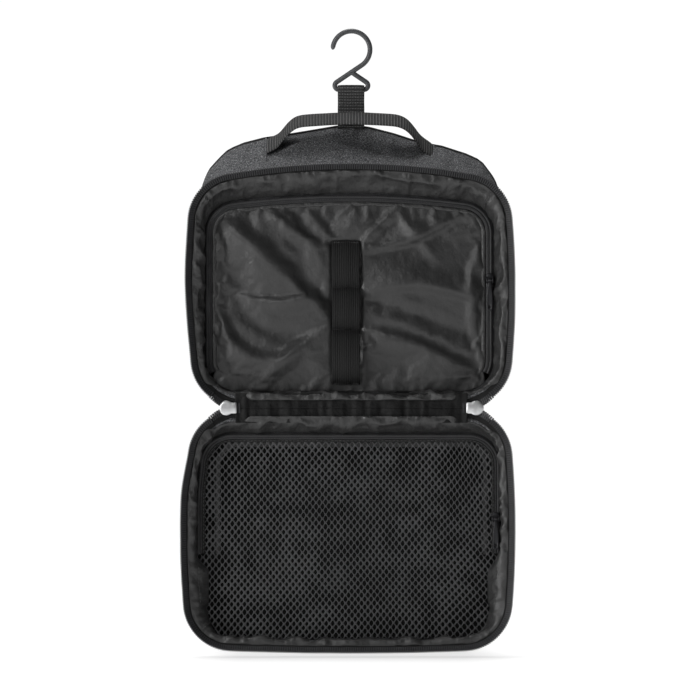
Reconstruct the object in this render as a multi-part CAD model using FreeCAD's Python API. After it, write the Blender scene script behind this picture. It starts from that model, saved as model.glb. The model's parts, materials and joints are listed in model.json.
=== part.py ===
"""Hanging toiletry bag, unzipped and hung open by its hook.

Two shallow fabric trays, one above the other, are joined by a fabric spine. A zip runs round both rims
from one end of the spine to the other. The upper tray has a zipped lining pocket with elastic loops, the
lower one a zipped mesh pocket. A moulded hook on a webbing strap and a webbing carry handle are sewn to
the upper tray.

Millimetres. +Z is up, +X is to the right and -Y faces the user. The origin is the centre of the hook's seat.
"""

import FreeCAD
import Part

import math
import os

from FreeCAD import Matrix, Vector

os.makedirs("parts", exist_ok=True)

# Trays: the rim faces the user, the back is away from the user.
RIM_HALF_WIDTH = 108.9
TRAY_HEIGHT = 159.0
CORNER_R = 28.0
SIDE_BULGE = 2.0
FAR_BULGE = 7.0
RIM_Y = -40.0
BACK_Y = 2.0
HINGE_Z = -252.9
SPINE_WIDTH = 14.0

# The upper tray's top hangs from the strap, so its back edge is drawn up to a peak.
RIDGE_Z = -56.2
RIDGE_SHOULDER_RISE = 21.0

# Wall layers, from the outside in.
SHELL_T = 0.8
PADDING_T = 1.6
LINING_T = 0.5
LAYER_GAP = 0.1
BINDING_DEPTH = 2.4

# Main zip: tape and teeth splay outwards and forwards, so that both sides meet when the bag is shut.
TAPE_T = 0.9
TAPE_SEAM = 4.2
TAPE_OUT = 3.9
TAPE_FORWARD = 4.9
TEETH_OUT = 6.1
TEETH_WIDTH = 2.2
TEETH_FORWARD = SPINE_WIDTH / 2 - 0.15
ZIP_END_X = 97.0

# Pockets: a zip runs up one side, along the top and down the other. The foot is sewn down.
POCKET_R = 20.0
UPPER_POCKET_HALF_WIDTH = 97.3
LOWER_POCKET_HALF_WIDTH = 99.6
UPPER_POCKET_TOP_MARGIN = 18.0
LOWER_POCKET_TOP_MARGIN = 13.3
POCKET_FOOT_MARGIN = 7.4
UPPER_POCKET_FAR_BULGE = 5.0
UPPER_ZIP_END_Z = -229.0
LOWER_ZIP_END_Z = -356.0
UPPER_POCKET_DEPTH = 12.0
LOWER_POCKET_DEPTH = 10.0
POCKET_TAPE_W = 4.0
POCKET_TAPE_T = 0.6
CHAIN_GAP = 0.45
POCKET_CHAIN_W = 1.8
POCKET_CHAIN_T = 1.6
POCKET_SLOT = 3.3
PANEL_T = 0.7
MESH_BINDING_W = 3.0
POCKET_SLIDER_Z = 83.0
MESH_SLIDER_Z = 71.0

# Elastic strap with three loops.
ELASTIC_X = -3.8
ELASTIC_W = 20.0
ELASTIC_T = 1.2
ELASTIC_TOP_Z = -137.0
LOOP_HEIGHTS = (31.0, 29.5, 38.0)
LOOP_DEPTHS = (8.5, 10.0, 14.0)
BARTACK_H = 1.6

# Hook.
HOOK_SEAT_R = 11.5
HOOK_T = 3.3
HOOK_SEAT_FLAT = 1.6
SHANK_SLOPE = 34.0
EYE_BAR_Z = -28.2
EYE_CORNER_R = 2.9

# Hang strap, looped round the hook's eye bar and sewn into the back seam.
STRAP_W = 19.0
STRAP_T = 1.3
STRAP_CLEARANCE = 0.3
STRAP_FLEX_Z = -53.0
STRAP_JOIN_Z = -37.0

# Carry handle.
HANDLE_HALF_SPAN = 59.0
HANDLE_TOP_HALF = 40.0
HANDLE_RISE = 21.0
HANDLE_T = 1.8
HANDLE_W = 20.0
HANDLE_Y = -7.0
HANDLE_Z = -67.5
HANDLE_TILT = 25.0
HANDLE_FREE_RISE = 5.0
ANCHOR_W = 12.0
ANCHOR_T = 1.4

# Sliders. Lengths along the chain, widths across it.
MAIN_SLIDER_L = 12.4
MAIN_SLIDER_HEAD = 10.3
MAIN_SLIDER_TAIL = 7.8
MAIN_SLIDER_X = 86.8
MAIN_PULL_L = 24.0
POCKET_SLIDER_L = 9.6
POCKET_SLIDER_HEAD = 6.0
POCKET_SLIDER_TAIL = 5.2
POCKET_PULL_L = 21.5

SPINE_HALF_LENGTH = 80.0
SPINE_T = 0.75
SPINE_CLEARANCE = 0.4
HUGE = 600.0


# ---------------------------------------------------------------- outlines
class Outline:
    """A bowed rectangle in the XZ plane. Its parallel curve at distance d has corners of radius d."""

    def __init__(self, sides):
        """sides: four (start, middle, end) point triples as (x, z), each starting where the last ends."""
        self.sides = sides
        middle = [sum(side[0][k] for side in sides) / len(sides) for k in (0, 1)]
        self.normals = [self._normals(side, middle) for side in sides]

    @staticmethod
    def _normals(side, middle):
        (ax, az), (bx, bz), (cx, cz) = side
        bow = (bx - ax) * (cz - az) - (bz - az) * (cx - ax)
        if abs(bow) < 1e-6:
            length = math.hypot(cx - ax, cz - az)
            normal = ((cz - az) / length, -(cx - ax) / length)
            outward = normal[0] * (ax - middle[0]) + normal[1] * (az - middle[1])
            sign = 1 if outward > 0 else -1
            return [(sign * normal[0], sign * normal[1])] * 3
        centre = _circle_centre(side)
        return [_unit(point[0] - centre[0], point[1] - centre[1]) for point in side]

    def wire(self, distance, y):
        """The closed wire of four sides and four round corners, at a distance outside the bones."""
        edges = []
        for i, (side, normals) in enumerate(zip(self.sides, self.normals)):
            start, middle, end = [_shift(p, n, distance, y) for p, n in zip(side, normals)]
            if abs((middle - start).cross(end - start).Length) < 1e-4:
                edges.append(Part.LineSegment(start, end).toShape())
            else:
                edges.append(Part.Arc(start, middle, end).toShape())
            after = self.normals[(i + 1) % 4][0]
            corner = side[2]
            bisector = _unit(normals[2][0] + after[0], normals[2][1] + after[1])
            turn = _shift(corner, bisector, distance, y)
            edges.append(Part.Arc(end, turn, _shift(corner, after, distance, y)).toShape())
        return Part.Wire(edges)

    def plate(self, distance, y, thickness):
        """A flat sheet whose face nearest the user is at y."""
        return Part.Face(self.wire(distance, y)).extrude(Vector(0, thickness, 0))


def _unit(x, z):
    length = math.hypot(x, z)
    return x / length, z / length


def _shift(point, normal, distance, y):
    return Vector(point[0] + normal[0] * distance, y, point[1] + normal[1] * distance)


def _circle_centre(side):
    (ax, az), (bx, bz), (cx, cz) = side
    d = 2 * (ax * (bz - cz) + bx * (cz - az) + cx * (az - bz))
    a, b, c = ax * ax + az * az, bx * bx + bz * bz, cx * cx + cz * cz
    x = (a * (bz - cz) + b * (cz - az) + c * (az - bz)) / d
    z = (a * (cx - bx) + b * (ax - cx) + c * (bx - ax)) / d
    return x, z


def bowed_rectangle(half_width, near_z, far_z, side_bulge, far_rise, facing):
    """near_z is the hinge side. far_z is the far side at its corners; its middle stands out by far_rise."""
    left, right = -half_width, half_width
    middle_z = (near_z + far_z) / 2
    return Outline(
        [
            ((left, near_z), (0, near_z), (right, near_z)),
            ((right, near_z), (right + side_bulge, middle_z), (right, far_z)),
            ((right, far_z), (0, far_z + facing * far_rise), (left, far_z)),
            ((left, far_z), (left - side_bulge, middle_z), (left, near_z)),
        ]
    )


def rim_outline(facing, shoulder_rise=0.0, far_rise=FAR_BULGE):
    """The tray's outline, drawn at distance CORNER_R. facing is 1 for the upper tray, -1 for the lower."""
    near = HINGE_Z + facing * SPINE_WIDTH / 2
    far = near + facing * (TRAY_HEIGHT - CORNER_R - FAR_BULGE + shoulder_rise)
    half_width = RIM_HALF_WIDTH - CORNER_R - SIDE_BULGE
    return bowed_rectangle(half_width, near + facing * CORNER_R, far, SIDE_BULGE, far_rise, facing)


def ridge_outline():
    """The upper tray's back outline, which peaks under the hang strap."""
    shoulder_z = HINGE_Z + SPINE_WIDTH / 2 + TRAY_HEIGHT - CORNER_R - FAR_BULGE + RIDGE_SHOULDER_RISE
    return rim_outline(1, RIDGE_SHOULDER_RISE, RIDGE_Z - CORNER_R - shoulder_z)


def pocket_outline(facing):
    """The centre line of a pocket's zip, at distance POCKET_R. Its sides are straight, for the slider."""
    near_margin = POCKET_FOOT_MARGIN if facing > 0 else LOWER_POCKET_TOP_MARGIN
    far_margin = UPPER_POCKET_TOP_MARGIN if facing > 0 else POCKET_FOOT_MARGIN
    far_bulge = UPPER_POCKET_FAR_BULGE if facing > 0 else FAR_BULGE
    near = near_z(facing) + facing * (near_margin + POCKET_R)
    far = near_z(facing) + facing * (TRAY_HEIGHT - far_margin - POCKET_R - far_bulge)
    return bowed_rectangle(pocket_half_width(facing) - POCKET_R, near, far, 0.0, far_bulge, facing)


def pocket_half_width(facing):
    return UPPER_POCKET_HALF_WIDTH if facing > 0 else LOWER_POCKET_HALF_WIDTH


def near_z(facing):
    """Height of a tray's wall beside the spine."""
    return HINGE_Z + facing * SPINE_WIDTH / 2


# ---------------------------------------------------------------- solids shared by both trays
def box(x0, x1, y0, y1, z0, z1):
    return Part.makeBox(x1 - x0, y1 - y0, abs(z1 - z0), Vector(x0, y0, min(z0, z1)))


def slab(y0, y1):
    return box(-HUGE, HUGE, y0, y1, -HUGE, HUGE)


def loft(first, second):
    """A straight-sided solid between two (outline, distance, y) sections."""
    return Part.makeLoft([outline.wire(d, y) for outline, d, y in (first, second)], True, True)


def ring(outer, inner):
    return loft(*outer).cut(loft(*inner))


class Tray:
    """One half of the bag."""

    def __init__(self, facing, back):
        self.facing = facing
        self.rim = rim_outline(facing)
        self.back = back
        self.pocket = pocket_outline(facing)

    def block(self, depth, y0, y1):
        """What lies at least depth inside the tray's outer surface, between two planes."""
        distance = CORNER_R - depth
        return loft((self.rim, distance, RIM_Y), (self.back, distance, BACK_Y)).common(slab(y0, y1))

    def band(self, depth, thickness, y0, y1):
        """A wall layer that runs all round the tray."""
        return self.block(depth, y0, y1).cut(self.block(depth + thickness, y0 - 1, y1 + 1))

    def gusset(self):
        return self.band(0, SHELL_T, RIM_Y, BACK_Y - SHELL_T - LAYER_GAP)

    def back_panel(self):
        return self.block(0, BACK_Y - SHELL_T, BACK_Y)

    def back_foam(self):
        behind = BACK_Y - SHELL_T - LAYER_GAP
        return self.block(SHELL_T + LAYER_GAP, behind - PADDING_T, behind)

    def lining_back_y(self):
        return BACK_Y - SHELL_T - PADDING_T - 2 * LAYER_GAP

    def seam_binding(self):
        front = self.lining_back_y() - BINDING_DEPTH
        return self.band(SHELL_T + LAYER_GAP, PADDING_T, front, self.lining_back_y())

    def gusset_padding(self):
        behind = self.lining_back_y() - BINDING_DEPTH - LAYER_GAP
        return self.band(SHELL_T + LAYER_GAP, PADDING_T, RIM_Y + 0.5, behind)

    def lining(self):
        depth = SHELL_T + PADDING_T + 2 * LAYER_GAP
        behind = self.lining_back_y() - LAYER_GAP
        hollow = self.block(depth + LINING_T, RIM_Y - 1, behind - LINING_T)
        return self.block(depth, RIM_Y, behind).cut(hollow)

    def spine_notch(self):
        """The stretch of rim beside the spine, where there is no zip."""
        near = near_z(self.facing)
        low, high = near - self.facing * 12, near + self.facing * 14
        return box(-ZIP_END_X, ZIP_END_X, RIM_Y - 20, RIM_Y + 1, low, high)

    def zip_tape(self):
        front, tip = RIM_Y - 0.05, RIM_Y - TAPE_FORWARD
        cone = ring(
            ((self.rim, CORNER_R, front), (self.rim, CORNER_R + TAPE_OUT, tip)),
            ((self.rim, CORNER_R - TAPE_T, front), (self.rim, CORNER_R - TAPE_T + TAPE_OUT, tip)),
        )
        seam = self.rim.plate(CORNER_R, front - 0.7, 0.7)
        seam = seam.cut(self.rim.plate(CORNER_R - TAPE_SEAM, front - 2, 4))
        return cone.fuse(seam).cut(self.spine_notch()).removeSplitter()

    def zip_teeth(self):
        root, tip = RIM_Y - TAPE_FORWARD - 0.05, RIM_Y - TEETH_FORWARD
        out = CORNER_R + TEETH_OUT
        lean = 1.5
        teeth = ring(
            ((self.rim, out - lean, root), (self.rim, out, tip)),
            ((self.rim, out - lean - TEETH_WIDTH, root), (self.rim, out - TEETH_WIDTH, tip)),
        )
        return teeth.cut(self.spine_notch())

    def pocket_y(self):
        return RIM_Y + (UPPER_POCKET_DEPTH if self.facing > 0 else LOWER_POCKET_DEPTH)

    def facing_panel(self):
        """The lining that slopes from the rim to the pocket's zip."""
        depth = SHELL_T + PADDING_T + LINING_T + 3 * LAYER_GAP
        front, behind = RIM_Y + 0.4, self.pocket_y() - LAYER_GAP
        edge = POCKET_R + POCKET_SLOT
        return ring(
            ((self.rim, CORNER_R - depth, front), (self.pocket, edge + LINING_T, behind)),
            ((self.rim, CORNER_R - depth - LINING_T, front), (self.pocket, edge, behind)),
        )

    def zipped_part(self):
        """The space that holds the pocket's zip: its top and the upper stretch of both sides."""
        end = UPPER_ZIP_END_Z if self.facing > 0 else LOWER_ZIP_END_Z
        return box(-HUGE, HUGE, -HUGE, HUGE, end, end + HUGE)

    def pocket_tape(self):
        strips = []
        for inner, outer in ((CHAIN_GAP, POCKET_TAPE_W), (-POCKET_TAPE_W, -CHAIN_GAP)):
            strip = self.pocket.plate(POCKET_R + outer, self.pocket_y(), POCKET_TAPE_T)
            strips.append(strip.cut(self.pocket.plate(POCKET_R + inner, self.pocket_y() - 1, 3)))
        return Part.makeCompound([strip.common(self.zipped_part()) for strip in strips])

    def pocket_chain(self):
        strips = []
        front = self.pocket_y() - LAYER_GAP - POCKET_CHAIN_T
        for inner, outer in ((CHAIN_GAP, POCKET_CHAIN_W), (-POCKET_CHAIN_W, -CHAIN_GAP)):
            strip = self.pocket.plate(POCKET_R + outer, front, POCKET_CHAIN_T)
            strips.append(strip.cut(self.pocket.plate(POCKET_R + inner, front - 1, 4)))
        return Part.makeCompound([strip.common(self.zipped_part()) for strip in strips])

    def pocket_face(self):
        """The panel that closes the pocket. Past the zip's ends it reaches the facing."""
        front = self.pocket_y() - LAYER_GAP - PANEL_T
        panel = self.pocket.plate(POCKET_R - POCKET_SLOT, front, PANEL_T)
        foot = self.pocket.plate(POCKET_R + POCKET_SLOT - LAYER_GAP, front, PANEL_T)
        return panel.fuse(foot.cut(self.zipped_part())).removeSplitter()

    def slider_place(self, height):
        """Right-hand side of the pocket zip: along the chain is +Z, and outwards is towards the user."""
        z = near_z(self.facing) + self.facing * height
        x = pocket_half_width(self.facing)
        return placed(Vector(x, self.pocket_y(), z), Vector(0, 0, 1), Vector(0, -1, 0))


# ---------------------------------------------------------------- sliders and pulls
def placed(origin, along, outward):
    """A matrix that carries (along, across, outward) local axes to the bag's frame."""
    across = outward.cross(along)
    m = Matrix()
    m.A11, m.A21, m.A31 = along
    m.A12, m.A22, m.A32 = across
    m.A13, m.A23, m.A33 = outward
    m.A14, m.A24, m.A34 = origin
    return m


def moved(shape, matrix):
    result = shape.copy()
    result.transformShape(matrix)
    return result


def slider_plan(length, head, tail):
    """The slider's outline seen from above: square at the tail, round and wide at the head."""
    half, waist = length / 2, -length * 0.08
    shoulder = length * 0.22
    points = [(-half, tail / 2), (waist, tail / 2), (shoulder, head / 2)]
    upper = [Vector(u, v, 0) for u, v in points]
    lower = [Vector(u, -v, 0) for u, v in reversed(points)]
    edges = [Part.LineSegment(a, b).toShape() for a, b in zip(upper, upper[1:])]
    edges.append(Part.Arc(upper[-1], Vector(half, 0, 0), lower[0]).toShape())
    edges += [Part.LineSegment(a, b).toShape() for a, b in zip(lower, lower[1:])]
    edges.append(Part.LineSegment(lower[-1], upper[0]).toShape())
    return Part.Face(Part.Wire(edges))


def slider(length, head, tail, plate_t, low, high, guide_low, pin_r):
    """Two plates, a post and a pin for the pull. low and high are the channel's floor and roof."""
    plan = slider_plan(length, head, tail)
    bottom = plan.extrude(Vector(0, 0, plate_t)).translated(Vector(0, 0, low - plate_t))
    top = plan.extrude(Vector(0, 0, plate_t)).translated(Vector(0, 0, high))
    edge = plan.cut(plan.makeOffset2D(-0.7))
    guides = edge.extrude(Vector(0, 0, high - guide_low)).translated(Vector(0, 0, guide_low))
    guides = guides.common(Part.makeBox(length * 0.8, 40, 40, Vector(-length * 0.5, -20, -20)))
    guides = guides.cut(Part.makeBox(length, tail - 1.3, 40, Vector(-length * 0.7, -(tail - 1.3) / 2, -20)))
    post = Part.makeBox(length * 0.16, 0.5, high - low + plate_t)
    post.translate(Vector(length * 0.32, -0.25, low - plate_t / 2))
    body = bottom.fuse([top, guides, post])
    pin_w = high + plate_t + pin_r + 1.1
    for side in (-1, 1):
        ear = Part.makeBox(3.4, 0.8, pin_w - high + pin_r)
        ear.translate(Vector(-1.7, side * 2.3 - 0.4, high + plate_t / 2))
        body = body.fuse(ear)
    pin = Part.makeCylinder(pin_r, 5.0, Vector(0, -2.5, pin_w), Vector(0, 1, 0))
    return body.fuse(pin).removeSplitter(), pin_w


def pull(length, width, pin_w, pin_r):
    """A tab with an eye on the slider's pin. It lies back over the tail."""
    eye_r, thickness, neck = pin_r + 0.15, 1.3, 3.0
    under = pin_w - thickness / 2
    outer = Part.makeCylinder(eye_r + 0.65, neck, Vector(0, -neck / 2, pin_w), Vector(0, 1, 0))
    stem = Part.makeBox(5.0, neck, thickness, Vector(-5.0, -neck / 2, under))
    tab = Part.makeBox(length - 4.0, width, thickness, Vector(-length, -width / 2, under))
    upright = [e for e in tab.Edges if abs(e.Vertexes[0].Z - e.Vertexes[1].Z) > 0.1]
    tab = tab.makeFillet(width * 0.3, upright)
    hole = Part.makeCylinder(width * 0.18, 10, Vector(width * 0.55 - length, 0, under - 5), Vector(0, 0, 1))
    bore = Part.makeCylinder(eye_r, neck + 2, Vector(0, -neck / 2 - 1, pin_w), Vector(0, 1, 0))
    return outer.fuse([stem, tab]).cut(hole).cut(bore).removeSplitter()


def pocket_slider_and_pull(tray, height):
    """The slider and its pull on the right-hand side, at a height above or below the tray's near wall."""
    floor, roof = -POCKET_TAPE_T - 0.3, POCKET_CHAIN_T + LAYER_GAP + 0.3
    body, pin_w = slider(
        POCKET_SLIDER_L, POCKET_SLIDER_HEAD, POCKET_SLIDER_TAIL, 0.9, floor, roof, 0.3, 0.6
    )
    place = tray.slider_place(height)
    return moved(body, place), moved(pull(POCKET_PULL_L, 5.4, pin_w, 0.6), place)


def main_slider_and_pull(side):
    body, pin_w = slider(
        MAIN_SLIDER_L, MAIN_SLIDER_HEAD, MAIN_SLIDER_TAIL, 1.2, -1.4, 1.4, -0.9, 0.8
    )
    place = placed(Vector(side * MAIN_SLIDER_X, RIM_Y, HINGE_Z), Vector(side, 0, 0), Vector(0, 1, 0))
    return moved(body, place), moved(pull(MAIN_PULL_L, 7.6, pin_w, 0.8), place)


# ---------------------------------------------------------------- spine
def spine_layer(y0, y1):
    reach = SPINE_WIDTH / 2 - SPINE_CLEARANCE
    return box(-SPINE_HALF_LENGTH, SPINE_HALF_LENGTH, y0, y1, HINGE_Z - reach, HINGE_Z + reach)


def closed_chain(side):
    """The last stretch of closed zip, held between the spine's end and the slider."""
    x0, x1 = SPINE_HALF_LENGTH + 0.1, MAIN_SLIDER_X + 1.5
    tape = box(x0, x1, RIM_Y - 0.3, RIM_Y + 0.3, HINGE_Z - 3.1, HINGE_Z + 3.1)
    coil = box(x0, x1, RIM_Y - 1.1, RIM_Y + 1.1, HINGE_Z - 2.2, HINGE_Z + 2.2)
    chain = tape.fuse(coil).removeSplitter()
    return chain if side > 0 else chain.mirror(Vector(0, 0, 0), Vector(1, 0, 0))


# ---------------------------------------------------------------- hook, strap and handle
def hook():
    """A seat that is most of a circle, a straight shank and a triangular eye, all one moulding."""
    radius = HOOK_T / 2
    centre_r = HOOK_SEAT_R + radius
    slope = math.radians(SHANK_SLOPE)
    leave = math.pi / 2 - slope
    flat = HOOK_SEAT_FLAT / 2
    bevel = (HOOK_T - HOOK_SEAT_FLAT) / 2
    x0, x1 = HOOK_SEAT_R, HOOK_SEAT_R + HOOK_T
    corners = [
        (x0, -flat), (x0, flat), (x0 + bevel, radius), (x1 - bevel, radius),
        (x1, flat), (x1, -flat), (x1 - bevel, -radius), (x0 + bevel, -radius),
    ]
    loop = [Vector(x, y, 0) for x, y in corners]
    section = Part.Face(Part.makePolygon(loop + loop[:1]))
    section.rotate(Vector(0, 0, 0), Vector(0, 1, 0), math.degrees(leave))
    seat = section.revolve(Vector(0, 0, 0), Vector(0, 1, 0), -(180.0 + math.degrees(leave)))

    along = Vector(-math.cos(slope), 0, -math.sin(slope))
    start = Vector(math.cos(leave) * centre_r, 0, -math.sin(leave) * centre_r)
    to_bar = (start.z - EYE_BAR_Z) / math.sin(slope)
    meet = start + along * to_bar
    set_back = EYE_CORNER_R / math.tan(slope / 2)
    corner_x = meet.x + set_back
    leg_end = meet - along * set_back
    apex = start + along * (start.x / math.cos(slope))
    rod = [
        round_rod(start, leg_end, radius),
        round_rod(apex, Vector(-leg_end.x, 0, leg_end.z), radius),
        round_rod(Vector(corner_x, 0, EYE_BAR_Z), Vector(-corner_x, 0, EYE_BAR_Z), radius),
    ]
    for side in (1, -1):
        centre = Vector(side * corner_x, 0, EYE_BAR_Z + EYE_CORNER_R)
        bend = Part.makeTorus(EYE_CORNER_R, radius, centre, Vector(0, 1, 0))
        x0 = side * corner_x - (9 if side > 0 else 0)
        half = box(x0, x0 + 9, -3, 3, EYE_BAR_Z - 4, EYE_BAR_Z + 9)
        cut_back = box(-20, 20, -3, 3, leg_end.z, leg_end.z + 9)
        rod.append(bend.common(half).cut(cut_back))
        rod.append(Part.makeSphere(radius, Vector(side * leg_end.x, 0, leg_end.z)))
    tip = Part.makeSphere(radius * 0.98, Vector(-centre_r, 0, 0))
    joints = [Part.makeSphere(radius * 1.02, start), Part.makeSphere(radius, apex), tip]
    return seat.fuse(rod + joints).removeSplitter()


def round_rod(start, end, radius):
    return Part.makeCylinder(radius, (end - start).Length, start, end - start)


def hang_strap():
    """Webbing folded round the eye bar. Its two plies meet below the bar and end at the back seam."""
    inner = HOOK_T / 2 + STRAP_CLEARANCE
    outer = inner + STRAP_T
    x0 = -STRAP_W / 2

    def across(radius, z):
        return Part.makeCylinder(radius, STRAP_W, Vector(x0, 0, z), Vector(1, 0, 0))

    def wedge(half_top, top_z, half_bottom, bottom_z):
        points = [(-half_top, top_z), (half_top, top_z), (half_bottom, bottom_z), (-half_bottom, bottom_z)]
        loop = [Vector(x0, y, z) for y, z in points]
        return Part.Face(Part.makePolygon(loop + loop[:1])).extrude(Vector(STRAP_W, 0, 0))

    body = across(outer, EYE_BAR_Z).fuse(
        [
            wedge(outer * 0.97, EYE_BAR_Z - 0.8, STRAP_T, STRAP_JOIN_Z),
            wedge(STRAP_T, STRAP_JOIN_Z + 0.5, STRAP_T, STRAP_FLEX_Z),
            across(STRAP_T, STRAP_FLEX_Z),
        ]
    )
    eye = across(inner, EYE_BAR_Z).fuse(wedge(inner * 0.97, EYE_BAR_Z - 0.5, 0.1, STRAP_JOIN_Z + 1.8))
    return body.cut(eye).removeSplitter()


def outside(tray, thickness, x0, x1, y0, y1):
    """A patch of webbing lying on the top of the tray's gusset."""
    patch = tray.block(-thickness, y0, y1).cut(tray.block(-0.05, y0 - 1, y1 + 1))
    return patch.common(box(x0, x1, y0, y1, -120.0, 0.0))


def strap_anchor(tray):
    """The strap's sewn end: a stub on the ridge, and a tail stitched flat on the gusset."""
    half = STRAP_W / 2
    stub = box(-half, half, -STRAP_T / 2, STRAP_T / 2, RIDGE_Z - 6, STRAP_FLEX_Z - STRAP_T - 0.45)
    tail = outside(tray, ANCHOR_T, -half, half, -9.0, 0.7)
    return stub.cut(tray.block(-0.05, -5, 5)).fuse(tail).removeSplitter()


def handle_arch():
    """The handle's side view in its own plane: x along the bag, h away from the gusset."""
    leg_x = HANDLE_HALF_SPAN - HANDLE_FREE_RISE * (HANDLE_HALF_SPAN - HANDLE_TOP_HALF) / HANDLE_RISE
    bend = 9.0
    slope = math.atan2(HANDLE_RISE, HANDLE_HALF_SPAN - HANDLE_TOP_HALF)
    foot = (leg_x, HANDLE_FREE_RISE)
    shoulder = (HANDLE_TOP_HALF + bend * math.cos(slope), HANDLE_RISE - bend * math.sin(slope))
    bend_mid = (HANDLE_TOP_HALF - 0.1 * bend, HANDLE_RISE - 0.18 * bend)
    top = (HANDLE_TOP_HALF - bend, HANDLE_RISE)
    return foot, shoulder, bend_mid, top


def handle_plane(x, h):
    tilt = math.radians(HANDLE_TILT)
    return Vector(x, HANDLE_Y - h * math.sin(tilt), HANDLE_Z + h * math.cos(tilt))


def carry_handle():
    """A webbing arch that stands square to the sloping gusset."""
    route = handle_arch()
    foot, shoulder, bend, top = [handle_plane(x, h) for x, h in route]
    far_foot, far_shoulder, far_bend, far_top = [handle_plane(-x, h) for x, h in route]
    path = Part.Wire(
        [
            Part.LineSegment(foot, shoulder).toShape(),
            Part.Arc(shoulder, bend, top).toShape(),
            Part.LineSegment(top, far_top).toShape(),
            Part.Arc(far_top, far_bend, far_shoulder).toShape(),
            Part.LineSegment(far_shoulder, far_foot).toShape(),
        ]
    )
    tilt = math.radians(HANDLE_TILT)
    width = Vector(0, math.cos(tilt), math.sin(tilt))
    outline = path.makeOffset2D(HANDLE_T / 2, join=0, fill=True, openResult=True)
    slab_face = outline if outline.Faces else Part.Face(outline.Wires[0])
    band = slab_face.Faces[0].extrude(width * HANDLE_W)
    return band.translated(width * (-HANDLE_W / 2))


def handle_anchor(tray, side):
    x0 = side * HANDLE_HALF_SPAN - ANCHOR_W / 2
    y0 = HANDLE_Y - HANDLE_W / 2
    return outside(tray, ANCHOR_T, x0, x0 + ANCHOR_W, y0, y0 + HANDLE_W)


# ---------------------------------------------------------------- elastic loops
def elastic_stops():
    """Heights of the four stitched rows, from the top."""
    stops = [ELASTIC_TOP_Z]
    for height in LOOP_HEIGHTS:
        stops.append(stops[-1] - height)
    return stops


def elastic_loops(panel_front):
    """One elastic strap bowed out between its stitched rows."""
    stops = elastic_stops()
    x0 = ELASTIC_X - ELASTIC_W / 2
    back = panel_front - LAYER_GAP
    pieces = []
    for top, bottom, depth in zip(stops, stops[1:], LOOP_DEPTHS):
        middle = (top + bottom) / 2

        def bow(inset, reach):
            ends = [Vector(x0, back, top - inset), Vector(x0, back, bottom + inset)]
            arc = Part.Arc(ends[0], Vector(x0, back - reach, middle), ends[1]).toShape()
            chord = Part.LineSegment(ends[1], ends[0]).toShape()
            return Part.Face(Part.Wire([arc, chord])).extrude(Vector(ELASTIC_W, 0, 0))

        pieces.append(bow(0, depth).cut(bow(ELASTIC_T * 1.6, depth - ELASTIC_T)))
    for stop in stops:
        pieces.append(
            box(x0, x0 + ELASTIC_W, back - ELASTIC_T, back, stop - BARTACK_H / 2, stop + BARTACK_H / 2)
        )
    return pieces[0].fuse(pieces[1:]).removeSplitter()


def bartacks(panel_front):
    """Rows of stitching that hold the elastic, standing just proud of it at its two ends."""
    x0, x1 = ELASTIC_X - ELASTIC_W / 2, ELASTIC_X + ELASTIC_W / 2
    front = panel_front - LAYER_GAP - ELASTIC_T - 0.05
    stops = elastic_stops()
    rows = [
        box(x0 + 0.8, x1 - 0.8, front - 0.5, front, stops[0] + 0.1, stops[0] + 0.8),
        box(x0 + 0.8, x1 - 0.8, front - 0.5, front, stops[-1] - 0.8, stops[-1] - 0.1),
    ]
    return Part.makeCompound(rows)


# ---------------------------------------------------------------- build
def mesh_binding(tray):
    """Tape bound over the mesh's edge along the zip, on the side away from the user."""
    front = tray.pocket_y()
    outer = POCKET_R - POCKET_TAPE_W - LAYER_GAP
    band = tray.pocket.plate(outer, front, POCKET_TAPE_T)
    band = band.cut(tray.pocket.plate(outer - MESH_BINDING_W, front - 1, 3))
    return band.common(tray.zipped_part())


def tray_nodes(tray, name):
    return {
        f"{name}_gusset": tray.gusset(),
        f"{name}_back_panel": tray.back_panel(),
        f"{name}_back_foam": tray.back_foam(),
        f"{name}_gusset_padding": tray.gusset_padding(),
        f"{name}_seam_binding": tray.seam_binding(),
        f"{name}_lining": tray.lining(),
        f"{name}_facing": tray.facing_panel(),
        f"{name}_zip_tape": tray.zip_tape(),
        f"{name}_zip_teeth": tray.zip_teeth(),
    }


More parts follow.
